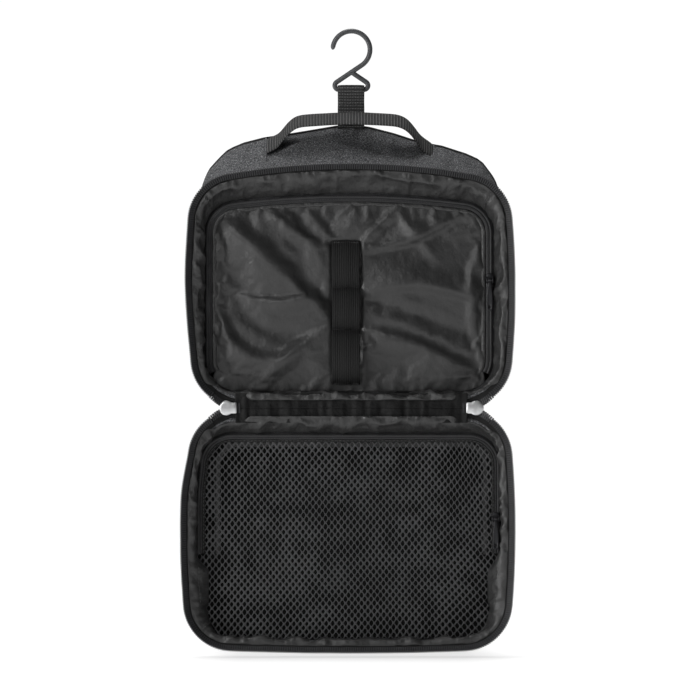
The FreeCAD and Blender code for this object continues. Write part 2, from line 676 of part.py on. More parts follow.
def build():
    upper = Tray(1, ridge_outline())
    lower = Tray(-1, rim_outline(-1))
    panel_front = upper.pocket_y() - LAYER_GAP - PANEL_T

    nodes = {**tray_nodes(upper, "upper"), **tray_nodes(lower, "lower")}
    nodes["lining_pocket_panel"] = upper.pocket_face()
    nodes["lining_pocket_zip_tape"] = upper.pocket_tape()
    nodes["lining_pocket_zip_chain"] = upper.pocket_chain()
    for tray, name, height in ((upper, "lining", POCKET_SLIDER_Z), (lower, "mesh", MESH_SLIDER_Z)):
        body, tab = pocket_slider_and_pull(tray, height)
        nodes[f"{name}_pocket_slider"] = body
        nodes[f"{name}_pocket_pull"] = tab
    nodes["elastic_loops"] = elastic_loops(panel_front)
    nodes["elastic_bartacks"] = bartacks(panel_front)
    nodes["mesh_pocket_panel"] = lower.pocket_face()
    nodes["mesh_pocket_binding"] = mesh_binding(lower)
    nodes["mesh_pocket_zip_tape"] = lower.pocket_tape()
    nodes["mesh_pocket_zip_chain"] = lower.pocket_chain()
    nodes["spine_lining"] = spine_layer(RIM_Y - SPINE_T, RIM_Y - LAYER_GAP / 2)
    nodes["spine_outer"] = spine_layer(RIM_Y + LAYER_GAP / 2, RIM_Y + SPINE_T)
    for side, word in ((-1, "left"), (1, "right")):
        nodes[f"main_slider_{word}"], nodes[f"main_pull_{word}"] = main_slider_and_pull(side)
        nodes[f"closed_chain_{word}"] = closed_chain(side)
        nodes[f"handle_anchor_{word}"] = handle_anchor(upper, side)
    nodes["hook"] = hook()
    nodes["hang_strap"] = hang_strap()
    nodes["strap_anchor"] = strap_anchor(upper)
    nodes["carry_handle"] = carry_handle()
    return nodes


for node, shape in build().items():
    if not shape.isValid() or shape.Volume <= 0:
        print("not a valid solid:", node)
    shape.exportStep(f"parts/{node}.step")
    size = shape.BoundBox
    print(f"{node}: {len(shape.Solids)} solids, {shape.Volume:.0f} mm3, z {size.ZMin:.1f}..{size.ZMax:.1f}")
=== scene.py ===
"""Looks for the hanging toiletry bag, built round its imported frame. Lengths are millimetres until a mesh is made."""

import json
import math

import bmesh
import bpy
import numpy as np
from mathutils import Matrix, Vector

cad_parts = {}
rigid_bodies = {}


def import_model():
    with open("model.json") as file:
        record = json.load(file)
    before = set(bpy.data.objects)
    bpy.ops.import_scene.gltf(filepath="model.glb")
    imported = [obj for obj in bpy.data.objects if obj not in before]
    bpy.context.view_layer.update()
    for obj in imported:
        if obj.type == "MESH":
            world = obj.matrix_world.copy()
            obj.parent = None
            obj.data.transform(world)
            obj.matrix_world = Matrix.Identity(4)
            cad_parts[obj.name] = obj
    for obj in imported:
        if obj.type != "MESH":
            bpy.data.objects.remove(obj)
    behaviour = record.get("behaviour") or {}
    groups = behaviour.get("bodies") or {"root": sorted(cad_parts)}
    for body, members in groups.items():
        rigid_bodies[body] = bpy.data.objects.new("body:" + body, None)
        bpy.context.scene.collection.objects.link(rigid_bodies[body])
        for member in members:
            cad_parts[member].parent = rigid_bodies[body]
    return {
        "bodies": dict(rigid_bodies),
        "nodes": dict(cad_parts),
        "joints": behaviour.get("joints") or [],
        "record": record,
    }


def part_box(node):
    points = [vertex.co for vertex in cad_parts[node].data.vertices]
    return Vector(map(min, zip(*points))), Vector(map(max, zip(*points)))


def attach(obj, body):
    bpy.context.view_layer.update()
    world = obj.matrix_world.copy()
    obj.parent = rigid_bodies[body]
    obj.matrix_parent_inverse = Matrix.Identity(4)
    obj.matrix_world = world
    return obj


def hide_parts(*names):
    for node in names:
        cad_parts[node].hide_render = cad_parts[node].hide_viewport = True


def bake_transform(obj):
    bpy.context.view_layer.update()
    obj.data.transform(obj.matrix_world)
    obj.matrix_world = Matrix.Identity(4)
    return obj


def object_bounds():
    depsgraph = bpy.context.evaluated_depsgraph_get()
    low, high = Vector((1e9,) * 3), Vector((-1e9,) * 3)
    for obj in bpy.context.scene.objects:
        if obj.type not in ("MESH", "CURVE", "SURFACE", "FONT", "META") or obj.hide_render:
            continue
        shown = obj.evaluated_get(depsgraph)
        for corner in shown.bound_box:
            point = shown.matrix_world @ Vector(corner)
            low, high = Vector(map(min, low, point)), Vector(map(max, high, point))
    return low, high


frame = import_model()
cad_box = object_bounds()
MM = 0.001
CLOTH, SHELL_CLOTH = 0.4 * MM, 0.8 * MM  # thicknesses


def corners(node):
    """A CAD node's lowest and highest corners, in millimetres."""
    low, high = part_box(node)
    return np.array(low) * 1000, np.array(high) * 1000


# Places from the frame.
RIM_Y = corners("upper_gusset")[0][1]
BACK_Y = corners("upper_back_panel")[1][1]
HALF_WIDTH = corners("upper_gusset")[1][0]
NEAR_Z = {1: corners("upper_gusset")[0][2], -1: corners("lower_gusset")[1][2]}
FAR_Z = {1: NEAR_Z[1] + 159.0, -1: corners("lower_gusset")[0][2]}
HINGE_Z = (NEAR_Z[1] + NEAR_Z[-1]) / 2
POCKET_ZIP = {1: corners("lining_pocket_zip_tape"), -1: corners("mesh_pocket_zip_tape")}
TAPE_HALF = 4.0  # half the width of a pocket's closed zip
POCKET_Y = {f: POCKET_ZIP[f][0][1] for f in (1, -1)}
POCKET_X = {1: 97.3, -1: 99.6}
POCKET_TOP = {f: POCKET_ZIP[f][1][2] - TAPE_HALF for f in (1, -1)}
POCKET_FOOT = {1: NEAR_Z[1] + 7.4, -1: FAR_Z[-1] + 5.2}
ZIP_END_Z = {f: POCKET_ZIP[f][0][2] for f in (1, -1)}
CORNER_R = 28.0
POCKET_R = 20.0
PADDING = 2.5  # the gusset's depth of foam and cloth
LINING = 3.1  # from the shell's face to the lining
COIL_PITCH = 1.15
ROD_R = 1.74
BAR_Z = corners("hook")[0][2] + 1.65  # the middle of the hook's lower bar
BODY = {1: "upper_half", -1: "lower_half"}
WORD = {1: "upper", -1: "lower"}
SPINE_END = corners("spine_lining")[1][0]
SLIDER_X = 86.8
# The upper tray's back edge, as (x, z): a peak under the strap and uneven shoulders.
RIDGE = (
    (-110, -106), (-104, -91), (-100, -84.5), (-96, -80), (-92, -75.8), (-88, -72), (-84, -69.8), (-76, -66.4),
    (-62, -62.8), (-46, -60.4), (-30, -57.8), (-10, -54.4), (0, -53.4), (13, -55.4), (30, -59.8), (43, -64),
    (55, -67), (64, -68.6), (72, -71.2), (81, -74.1), (89, -77.7), (93, -80.7), (97, -86), (102, -92.5), (110, -107),
)


# ---------------------------------------------------------------- numbers
class Noise:
    """Smooth random numbers from -1 to 1 in three dimensions, the same on every run."""

    def __init__(self, seed):
        self.table = np.random.default_rng(seed).random((48, 48, 48)) * 2 - 1

    def __call__(self, *coordinates):
        place = np.stack(np.broadcast_arrays(*coordinates, *[0.37] * (3 - len(coordinates))), -1)
        cell = np.floor(place).astype(int)
        part = place - cell
        part = part * part * (3 - 2 * part)
        total = 0.0
        for corner in np.ndindex(2, 2, 2):
            weight = np.prod(np.where(corner, part, 1 - part), axis=-1)
            index = (cell + corner) % 48
            total = total + weight * self.table[index[..., 0], index[..., 1], index[..., 2]]
        return total


rough = Noise(11)


def smooth(x, low, high):
    """Rises from 0 at low to 1 at high, level at both ends."""
    t = np.clip((x - low) / (high - low), 0, 1)
    return t * t * (3 - 2 * t)


def unit(v):
    v = np.asarray(v, float)
    return v / np.linalg.norm(v, axis=-1, keepdims=True)


def xyz(x, y, z):
    """Points from coordinates that are arrays or single numbers."""
    return np.stack(np.broadcast_arrays(x, y, z), -1)


def lengths(points):
    """Distance along a polyline to each of its points."""
    return np.concatenate([[0], np.cumsum(np.linalg.norm(np.diff(points, axis=0), axis=1))])


def pick(at, reach, values):
    """Rows of values at distances along a line, where reach is the distance to each row."""
    return np.stack([np.interp(at, reach, values[:, k]) for k in range(values.shape[1])], -1)


def resample(points, count):
    """The same polyline with evenly spaced points."""
    points = np.asarray(points, float)
    reach = lengths(points)
    return pick(np.linspace(0, reach[-1], count), reach, points)


def soften(points, times=3):
    """Cuts a polyline's corners until it is a smooth curve. Its ends stay."""
    points = np.asarray(points, float)
    for _ in range(times):
        a, b = points[:-1], points[1:]
        cut = np.stack([a * 0.75 + b * 0.25, a * 0.25 + b * 0.75], 1).reshape(-1, points.shape[1])
        points = np.concatenate([points[:1], cut[1:-1], points[-1:]])
    return points


# ---------------------------------------------------------------- outlines
class Outline:
    """A bowed rectangle in the XZ plane, as base points and outward normals that parallel curves share."""

    COUNTS = (150, 110, 150, 110)
    TURN = 30

    def __init__(self, half_width, near, far, side_bulge, far_rise):
        sign = 1 if far > near else -1
        middle = (near + far) / 2
        sides = [
            ((-half_width, near), (0, near), (half_width, near)),
            ((half_width, near), (half_width + side_bulge, middle), (half_width, far)),
            ((half_width, far), (0, far + sign * far_rise), (-half_width, far)),
            ((-half_width, far), (-half_width - side_bulge, middle), (-half_width, near)),
        ]
        outward = [(0, -sign), (1, 0), (0, sign), (-1, 0)]
        runs = [self._side(side, out, n) for side, out, n in zip(sides, outward, self.COUNTS)]
        base, normal = [], []
        self.starts = []
        for i, (points, normals) in enumerate(runs):
            self.starts.append(len(np.concatenate(base)) if base else 0)
            after = runs[(i + 1) % 4][1][0]
            turn = np.linspace(0, 1, self.TURN + 2)[1:-1, None]
            a0 = math.atan2(normals[-1][1], normals[-1][0])
            a1 = math.atan2(after[1], after[0])
            swing = (a1 - a0 + math.pi) % (2 * math.pi) - math.pi
            angle = a0 + turn[:, 0] * swing
            base += [points, np.repeat(points[-1:], self.TURN, 0)]
            normal += [normals, np.stack([np.cos(angle), np.sin(angle)], -1)]
        self.base = np.concatenate(base)
        self.normal = np.concatenate(normal)
        self.turns = [self.starts[i] + self.COUNTS[i] + self.TURN // 2 for i in range(4)]

    @staticmethod
    def _side(side, out, count):
        (ax, az), (bx, bz), (cx, cz) = side
        t = np.linspace(0, 1, count)
        chord = np.array([cx - ax, cz - az])
        sag = np.array([bx - (ax + cx) / 2, bz - (az + cz) / 2])
        points = np.array([ax, az]) + t[:, None] * chord + (4 * t * (1 - t))[:, None] * sag
        along = chord + (4 - 8 * t)[:, None] * sag
        normals = unit(np.stack([along[:, 1], -along[:, 0]], -1))
        flip = np.sign(normals @ np.array(out))
        return points, normals * flip[:, None]

    def at(self, distance, y):
        """Points of the parallel curve. distance and y are numbers or arrays, one for each point."""
        flat = self.base + self.normal * np.broadcast_to(distance, len(self.base))[:, None]
        return xyz(flat[:, 0], y, flat[:, 1])

    def out(self, share=1.0, y=0.0):
        """Outward directions, one for each point."""
        return xyz(self.normal[:, 0] * share, y, self.normal[:, 1] * share)

    def sag_left(self, amount, near=0.0, ramp=(-2, -1)):
        """Moves the left side outwards: fully, or by a share that grows over a ramp of distances in Z from near."""
        x, z = self.base.T
        self.base[:, 0] -= amount * smooth(-x, 20, 77) * smooth(abs(z - near), *ramp)


def rim_outline(facing):
    """A tray's rim. Its parallel curve at CORNER_R is the shell's edge."""
    rise = 7.0 if facing > 0 else 1.5
    far = FAR_Z[facing] - facing * (CORNER_R + rise)
    return Outline(HALF_WIDTH - CORNER_R - 2.0, NEAR_Z[facing] + facing * CORNER_R, far, 2.0, rise)


def pocket_outline(facing):
    """A pocket's edge. Its parallel curve at POCKET_R is the zip's middle line."""
    near, far = (POCKET_FOOT[1], POCKET_TOP[1]) if facing > 0 else (POCKET_TOP[-1], POCKET_FOOT[-1])
    rise = 5.0 if facing > 0 else 1.0
    return Outline(POCKET_X[facing] - POCKET_R, near + facing * POCKET_R, far - facing * (POCKET_R + rise), 0.0, rise)


RIM = {f: rim_outline(f) for f in (1, -1)}
POCKET = {f: pocket_outline(f) for f in (1, -1)}
# The trays sag out to their left, the lower one more, and the mesh pocket is the wider one.
POCKET[1].sag_left(3.4)
POCKET[-1].base[:, 0] *= 1.036
RIM[-1].sag_left(5.2, NEAR_Z[-1], (6, 62))
POCKET[-1].sag_left(4.4, NEAR_Z[-1], (6, 62))
RIM[1].sag_left(1.9, NEAR_Z[1], (26, 90))
REACH = {f: lengths(RIM[f].at(CORNER_R, 0.0)) for f in (1, -1)}
FRONT = np.array([0.0, -1.0, 0.0])


def back_curve(facing, depth, y):
    """The tray's back edge. The upper one is drawn up to a peak under the strap, with drooping shoulders."""
    points = RIM[facing].at(CORNER_R - depth, y)
    if facing > 0:
        top = np.interp(points[:, 0], *zip(*RIDGE))
        share = smooth(RIM[1].normal[:, 1], 0.0, 0.75)
        points[:, 2] += (top - depth - points[:, 2]) * share
    return points


# ---------------------------------------------------------------- meshes
class Sculpt:
    """Collects surfaces and makes one piece of them."""

    def __init__(self):
        self.points, self.faces, self.uvs, self.count = [], [], [], 0

    def surface(self, points, wrap_u=False, wrap_v=False, uv=None, caps=False):
        """points: rows x columns x 3. Rows wrap with wrap_v and columns with wrap_u."""
        points = np.asarray(points, float)
        rows, cols = points.shape[:2]
        if uv is None:
            tall = np.concatenate([points, points[:1]]) if wrap_v else points
            wide = np.concatenate([points, points[:, :1]], 1) if wrap_u else points
            v = np.concatenate([[0], np.cumsum(np.linalg.norm(np.diff(tall, axis=0), axis=2).mean(1))])
            u = np.concatenate([[0], np.cumsum(np.linalg.norm(np.diff(wide, axis=1), axis=2).mean(0))])
            uv = np.stack(np.meshgrid(u, v), -1)
        i, j = np.meshgrid(np.arange(rows - (not wrap_v)), np.arange(cols - (not wrap_u)), indexing="ij")
        i, j = i.ravel(), j.ravel()
        ring = [(i, j), (i, j + 1), (i + 1, j + 1), (i + 1, j)]
        faces = np.stack([(a % rows) * cols + b % cols for a, b in ring], -1) + self.count
        self.faces += faces.tolist()
        tall, wide = np.array(uv.shape[:2]) - 1
        around = [uv[np.minimum(a, tall), np.minimum(b, wide)] for a, b in ring]
        self.uvs.append(np.stack(around, 1).reshape(-1, 2))
        if caps and wrap_u:
            for row in (0, rows - 1):
                self.faces.append([self.count + row * cols + k for k in range(cols)])
                flat = points[row] - points[row].mean(0)
                axes = np.linalg.svd(flat, full_matrices=False)[2][:2]
                self.uvs.append(flat @ axes.T)
        self.points.append(points.reshape(-1, 3))
        self.count += rows * cols
        return self

    def closed(self, points):
        """A surface closed round its columns and capped at its ends."""
        return self.surface(points, wrap_u=True, caps=True)

    def raw(self, points, faces, uvs):
        """Quads given as they are."""
        self.faces += (np.asarray(faces) + self.count).tolist()
        self.points.append(points)
        self.uvs.append(uvs)
        self.count += len(points)
        return self

    def build(self, name, weld=0.0):
        """Makes a mesh object of the surfaces, with points nearer than weld joined."""
        mesh = bpy.data.meshes.new(name)
        points = np.concatenate(self.points) * MM
        mesh.from_pydata(points.tolist(), [], self.faces)
        layer = mesh.uv_layers.new(name="mm")
        layer.data.foreach_set("uv", np.concatenate(self.uvs).astype(np.float32).ravel())
        work = bmesh.new()
        work.from_mesh(mesh)
        if weld:
            bmesh.ops.remove_doubles(work, verts=work.verts, dist=weld * MM)
        bmesh.ops.recalc_face_normals(work, faces=work.faces)
        work.to_mesh(mesh)
        work.free()
        made = bpy.data.objects.new(name, mesh)
        bpy.context.scene.collection.objects.link(made)
        return made

    def piece(self, name, body, paint, replaces=(), weld=0.0, flat=False):
        """Makes a finished piece. It rides on a body, unless its caller gives none."""
        made = self.build(name, weld)
        made.data.materials.append(paint)
        if not flat:
            made.data.shade_smooth()
        if body:
            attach(made, body)
        if replaces:
            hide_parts(*replaces)
        return made


def thicken(made, thickness, offset):
    """Gives a sheet its thickness, to one side or to both."""
    modifier = made.modifiers.new("solidify", "SOLIDIFY")
    modifier.thickness, modifier.offset = thickness, offset
    graph = bpy.context.evaluated_depsgraph_get()
    mesh = bpy.data.meshes.new_from_object(made.evaluated_get(graph))
    made.modifiers.clear()
    old, made.data = made.data, mesh
    name = old.name
    bpy.data.meshes.remove(old)
    mesh.name = name


def spread(move, steps, count, wrap, axis):
    """Values at every few places along an axis, filled in between by straight lines."""
    move = np.moveaxis(move, axis, 0)
    places = np.arange(0, count, steps)
    if wrap:
        move, places = np.concatenate([move, move[:1]]), np.append(places, count)
    at = np.arange(count)
    k = np.clip(np.searchsorted(places, at, "right") - 1, 0, len(places) - 2)
    t = ((at - places[k]) / (places[k + 1] - places[k]))[:, None, None]
    return np.moveaxis(move[k] * (1 - t) + move[k + 1] * t, 0, axis)


def relax(points, held, steps, wrap_u=False, wrap_v=False, pressure=0.0, loosen=0.0, most=3.0, frames=10):
    """Settles a grid as cloth, pinned where held is true, with points travelling up to most millimetres.

    The cloth is every few rows and columns of the grid, and its travel is spread over the rest.
    """
    scene = bpy.context.scene
    coarse = points[:: steps[0], :: steps[1]]
    trial = Sculpt().surface(coarse, wrap_u=wrap_u, wrap_v=wrap_v).build("trial")
    pinned = np.broadcast_to(held, points.shape[:2])[:: steps[0], :: steps[1]]
    trial.vertex_groups.new(name="held").add(np.flatnonzero(pinned).tolist(), 1.0, "REPLACE")
    modifier = trial.modifiers.new("cloth", "CLOTH")
    rules = modifier.settings
    rules.quality, rules.mass = 4, 0.15
    rules.tension_stiffness = rules.compression_stiffness = 15
    rules.shear_stiffness, rules.bending_stiffness = 5, 0.15
    rules.effector_weights.gravity = 0
    rules.shrink_min = -loosen
    rules.use_pressure, rules.uniform_pressure_force = pressure > 0, pressure
    rules.vertex_group_mass = "held"
    modifier.collision_settings.use_collision = False
    modifier.point_cache.frame_start, modifier.point_cache.frame_end = 1, frames
    for frame in range(1, frames + 1):
        scene.frame_set(frame)
    settled = trial.evaluated_get(bpy.context.evaluated_depsgraph_get()).data
    move = np.array([v.co for v in settled.vertices]).reshape(coarse.shape) * 1000 - coarse
    bpy.data.objects.remove(trial)
    scene.frame_set(1)
    move = move * np.minimum(1, most / np.maximum(np.linalg.norm(move, axis=-1, keepdims=True), 1e-6))
    move = spread(move, steps[0], points.shape[0], wrap_v, 0)
    return points + spread(move, steps[1], points.shape[1], wrap_u, 1)


def swept(outline, profile, keep):
    """Points of a closed profile of (distance, y) pairs, carried along an outline."""
    return np.stack([outline.at(d, y)[keep] for d, y in profile], 1)


def ribbon(path, across, out, width, thickness, columns=9, crown=0.0):
    """A strap: path points, the direction of its width, and of its face. Returns a closed grid."""
    path = np.asarray(path, float)
    across = unit(np.broadcast_to(across, path.shape))
    out = unit(np.broadcast_to(out, path.shape))
    s = np.linspace(-1, 1, columns)
    width = np.broadcast_to(width, len(path))[:, None, None]
    edge = 1 - np.abs(s) ** 6 * 0.55
    lift = (crown * (1 - s * s))[None, :, None]
    face = path[:, None] + across[:, None] * (s[None, :, None] * width / 2)
    front = face + out[:, None] * (thickness / 2 * edge[None, :, None] + lift)
    back = face - out[:, None] * (thickness / 2 * edge[None, :, None] - lift)
    return np.concatenate([front, back[:, ::-1]], 1)


def tube(path, radius, sides=12, flat=1.0, up=(0, 1, 0)):
    """A rod of round section along a path. radius is a number or one for each point."""
    path = np.asarray(path, float)
    along = unit(np.gradient(path, axis=0))
    side = unit(np.cross(along, np.broadcast_to(up, path.shape)))
    over = np.cross(side, along)
    angle = np.linspace(0, 2 * math.pi, sides, endpoint=False)
    radius = np.broadcast_to(radius, len(path))[:, None, None]
    ring = np.cos(angle)[None, :, None] * side[:, None] + flat * np.sin(angle)[None, :, None] * over[:, None]
    return path[:, None] + ring * radius


def arc(centre, radius, start, end, count):
    """Points (x, 0, z) of an arc in the XZ plane, in degrees from +X."""
    angle = np.radians(np.linspace(start, end, count))
    return xyz(centre[0] + radius * np.cos(angle), 0.0, centre[1] + radius * np.sin(angle))


def stitches(sculpt, path, out, length=2.3, gap=0.9, radius=0.2):
    """A row of separate stitches along a path, standing on a surface whose outward direction is out."""
    path = np.asarray(path, float)
    reach = lengths(path)
    count = max(int(reach[-1] / (length + gap)), 1)
    starts = (np.arange(count) + 0.5) * reach[-1] / count
    out = np.broadcast_to(out, path.shape)
    t = np.linspace(-1, 1, 5)
    for middle in starts:
        line = pick(middle + t * length / 2, reach, path)
        face = unit(pick(middle, reach, out))
        line = line + face * (radius * (0.75 - 1.1 * t**4))[:, None]
        width = radius * np.sqrt(np.clip(1 - 0.8 * t**2, 0.1, 1))
        sculpt.closed(tube(line, width, 6, up=face))


def seam(name, body, *rows):
    """A piece of sewing thread. Each row is the path, direction and measures of a row of stitches."""
    sculpt = Sculpt()
    for row in rows:
        stitches(sculpt, *row)
    return sculpt.piece(name, body, THREAD)


# ---------------------------------------------------------------- materials
def rgba(value):
    """A colour from three numbers, or a grey from one."""
    return (*value, 1.0) if hasattr(value, "__len__") else (value, value, value, 1.0)


class Paint:
    """A procedural material. Its UVs are millimetres."""

    def __init__(self, name, **sockets):
        self.material = bpy.data.materials.new(name)
        self.material.use_nodes = True
        self.tree = self.material.node_tree
        self.shader = self.tree.nodes["Principled BSDF"]
        for socket, value in sockets.items():
            self.set(socket.replace("_", " "), value)
        self.place = self.tree.nodes.new("ShaderNodeTexCoord")
        split = self.tree.nodes.new("ShaderNodeSeparateXYZ")
        self.tree.links.new(self.place.outputs["UV"], split.inputs[0])
        self.u, self.v = split.outputs[0], split.outputs[1]

    def set(self, socket, value):
        self.put(self.shader.inputs[socket], value)

    def put(self, socket, value):
        if isinstance(value, bpy.types.NodeSocket):
            self.tree.links.new(value, socket)
        elif socket.type == "RGBA":
            socket.default_value = rgba(value)
        else:
            socket.default_value = value

    def math(self, operation, *values):
        node = self.tree.nodes.new("ShaderNodeMath")
        node.operation = operation
        for socket, value in zip(node.inputs, values):
            self.put(socket, value)
        return node.outputs[0]

    def wave(self, coordinate, pitch, shift=0.0):
        """A sine of the coordinate, from 0 to 1."""
        turn = self.math("MULTIPLY_ADD", coordinate, 2 * math.pi / pitch, shift)
        return self.math("MULTIPLY_ADD", self.math("SINE", turn), 0.5, 0.5)

    def noise(self, across, along, detail=2.0, object_space=False):
        """Noise whose grains are across x along millimetres."""
        scale = self.tree.nodes.new("ShaderNodeVectorMath")
        scale.operation = "MULTIPLY"
        factor = 1000.0 if object_space else 1.0
        self.put(scale.inputs[0], self.place.outputs["Object" if object_space else "UV"])
        scale.inputs[1].default_value = (factor / across, factor / along, factor / across)
        node = self.tree.nodes.new("ShaderNodeTexNoise")
        node.inputs["Scale"].default_value = 1.0
        node.inputs["Detail"].default_value = detail
        self.tree.links.new(scale.outputs[0], node.inputs["Vector"])
        return node.outputs["Fac"]

    def ramp(self, factor, *stops):
        node = self.tree.nodes.new("ShaderNodeValToRGB")
        elements = node.color_ramp.elements
        while len(elements) < len(stops):
            elements.new(0.5)
        for element, (at, value) in zip(elements, stops):
            element.position = at
            element.color = rgba(value)
        self.put(node.inputs[0], factor)
        return node.outputs[0]

    def bump(self, height, distance, strength=1.0, under=None):
        """distance is the height of the relief, in millimetres."""
        node = self.tree.nodes.new("ShaderNodeBump")
        node.inputs["Strength"].default_value = strength
        node.inputs["Distance"].default_value = distance * MM
        self.put(node.inputs["Height"], height)
        if under:
            self.put(node.inputs["Normal"], under)
        self.set("Normal", node.outputs[0])
        return node.outputs[0]


def heather():
    """Woven polyester of mixed dark and light yarns."""
    p = Paint("heather_polyester", Roughness=0.9, Specular_IOR_Level=0.2)
    weft, warp = p.noise(1.7, 0.36, 3), p.noise(0.36, 1.7, 3)
    broad = p.noise(14, 11, 2)
    mix = p.math("MULTIPLY_ADD", p.math("MAXIMUM", weft, warp), 1.0, p.math("MULTIPLY_ADD", broad, 0.05, -0.025))
    dark, middling, light = (0.022, 0.022, 0.024), (0.066, 0.067, 0.070), (0.27, 0.273, 0.28)
    p.set("Base Color", p.ramp(mix, (0.45, dark), (0.56, middling), (0.68, light)))
    yarn = p.math("MULTIPLY", p.wave(p.u, 0.62), p.wave(p.v, 0.62))
    first = p.bump(yarn, 0.07)
    p.bump(mix, 0.12, 0.8, first)
    return p.material


def nylon(name, shade, gloss=0.43, shine=0.5, crumple=1.9):
    """Thin satin lining cloth with small creases."""
    p = Paint(name, Specular_IOR_Level=shine)
    patch = p.noise(9, 9, 4)
    tone = p.math("MULTIPLY_ADD", patch, 0.5, p.math("MULTIPLY", p.noise(0.5, 5, 2), 0.5))
    p.set("Base Color", p.ramp(tone, (0.3, shade * 0.78), (0.7, shade * 1.25)))
    p.set("Roughness", p.math("MULTIPLY_ADD", patch, 0.22, gloss - 0.11))
    weave = p.math("MULTIPLY", p.wave(p.u, 0.5), p.wave(p.v, 0.5))
    first = p.bump(weave, 0.03)
    second = p.bump(p.noise(7, 8, 3), crumple, 0.8, first)
    p.bump(p.noise(1.9, 2.3, 2), 0.2, 0.7, second)
    return p.material


def webbing():
    """Heavy ribbed strap: ribs across its length, with a lighter yarn showing between them."""
    p = Paint("webbing", Roughness=0.75, Specular_IOR_Level=0.3)
    rib = p.wave(p.v, 2.1)
    yarn = p.wave(p.u, 1.15)
    dots = p.math("MULTIPLY", p.math("POWER", rib, 3.0), yarn)
    grain = p.noise(0.7, 0.7, 3)
    tone = p.math("MULTIPLY_ADD", dots, 0.7, p.math("MULTIPLY", grain, 0.35))
    p.set("Base Color", p.ramp(tone, (0.1, 0.014), (0.45, 0.04), (0.85, 0.21)))
    p.bump(p.math("MULTIPLY_ADD", yarn, 0.35, rib), 0.3)
    return p.material


def elastic():
    """Knitted elastic with fine ribs along its length."""
    p = Paint("ribbed_elastic", Roughness=0.8, Specular_IOR_Level=0.25)
    rib = p.wave(p.u, 1.55)
    purl = p.wave(p.v, 0.9)
    grain = p.noise(0.6, 1.6, 3)
    tone = p.math("MULTIPLY_ADD", rib, 0.5, p.math("MULTIPLY", grain, 0.5))
    p.set("Base Color", p.ramp(tone, (0.15, 0.004), (0.5, 0.007), (0.85, 0.014)))
    p.bump(p.math("MULTIPLY_ADD", purl, 0.3, rib), 0.22)
    return p.material


def tape(name, shade, pitch=0.8):
    """Woven zip tape or binding with a herringbone."""
    p = Paint(name, Roughness=0.8, Specular_IOR_Level=0.2)
    slant = p.math("PINGPONG", p.u, 1.6)
    twill = p.wave(p.math("ADD", p.v, slant), pitch)
    grain = p.noise(0.7, 2.4, 3)
    tone = p.math("MULTIPLY_ADD", twill, 0.35, p.math("MULTIPLY", grain, 0.6))
    p.set("Base Color", p.ramp(tone, (0.2, shade * 0.6), (0.75, shade * 1.7)))
    p.bump(twill, 0.1)
    return p.material


def net():
    """Knitted mesh yarn, with a sheen painted into its colour on the crowns of its strands."""
    p = Paint("knitted_net", Roughness=0.5, Specular_IOR_Level=0.5)
    strand = p.math("MULTIPLY", p.wave(p.u, 0.8), p.wave(p.v, 0.8))
    tone = p.math("MULTIPLY_ADD", strand, 0.5, p.math("MULTIPLY", p.noise(0.8, 0.8, 3), 0.55))
    # Painted sheen: the colour is lighter where the strands' relief is highest.
    p.set("Base Color", p.ramp(tone, (0.15, (0.018, 0.018, 0.019)), (0.8, (0.088, 0.090, 0.092))))
    p.bump(strand, 0.12)
    return p.material


def moulded(name, shade, roughness, metal=0.0):
    """Moulded plastic or painted casting with a fine grain and a cloudy tone."""
    p = Paint(name, Metallic=metal, Specular_IOR_Level=0.3)
    cloud = p.noise(5, 5, 3, True)
    low, high = (tuple(c * share for c in shade) for share in (0.85, 1.2))
    p.set("Base Color", p.ramp(cloud, (0.3, low), (0.75, high)))
    p.set("Roughness", p.math("MULTIPLY_ADD", cloud, 0.16, roughness - 0.08))
    p.bump(p.noise(1.1, 1.1, 2, True), 0.015, 0.5)
    return p.material


def thread(shade):
    """Twisted sewing thread."""
    p = Paint("sewing_thread", Roughness=0.6, Sheen_Weight=0.2)
    twist = p.wave(p.math("ADD", p.u, p.math("MULTIPLY", p.v, 0.6)), 0.55)
    p.set("Base Color", p.ramp(twist, (0.1, shade * 0.6), (0.9, shade * 1.5)))
    p.bump(twist, 0.05)
    return p.material


HEATHER = heather()
NYLON = nylon("satin_nylon", 0.021)
PANEL_NYLON = nylon("panel_nylon", 0.021, crumple=0.9)
# Painted shade: a copy of the lining nylon made five times darker and duller, for the pan behind the pockets and the
# spine's lining.
SHADED_NYLON = nylon("nylon_with_painted_shade", 0.004, 0.66, 0.2)
WEBBING = webbing()
ELASTIC = elastic()
ZIP_TAPE = tape("zip_tape", 0.007)
POCKET_TAPE = tape("pocket_zip_tape", 0.014, 0.6)
BINDING = tape("binding_tape", 0.012, 1.1)
NET = net()
TOOTH = moulded("zip_tooth", (0.026, 0.026, 0.028), 0.5)
COIL = moulded("nylon_coil", (0.020, 0.020, 0.021), 0.42)
HOOK_PLASTIC = moulded("hook_plastic", (0.062, 0.064, 0.067), 0.36)
NICKEL = moulded("nickel_plate", (0.62, 0.625, 0.63), 0.42, 1.0)
BLACK_METAL = moulded("black_enamel", (0.022, 0.022, 0.024), 0.34, 0.35)
THREAD = thread(0.035)


# ---------------------------------------------------------------- tray shells
def zip_run(facing):
    """The stretch of rim with a zip: all but the part beside the spine."""
    points = RIM[facing].at(CORNER_R + 4.0, RIM_Y)
    beside = (np.abs(points[:, 0]) < 97) & (np.abs(points[:, 2] - NEAR_Z[facing]) < 13)
    kept = np.flatnonzero(~beside)
    return slice(kept[0], kept[-1] + 1)


def wall_dent(facing, u, v):
    """How far the gusset stands out, at u millimetres round it and v from its rim (0) to its back edge (1)."""
    dent = 0.8 * rough(u / 34, v * 1.3, facing) + 0.28 * rough(u / 9, v * 4, 3.0) + 0.1 * rough(u / 3.5, v * 9, 6.0)
    return np.sin(math.pi * v) ** 0.7 * np.maximum(dent - 0.5, -9.0 if facing > 0 else -0.25)


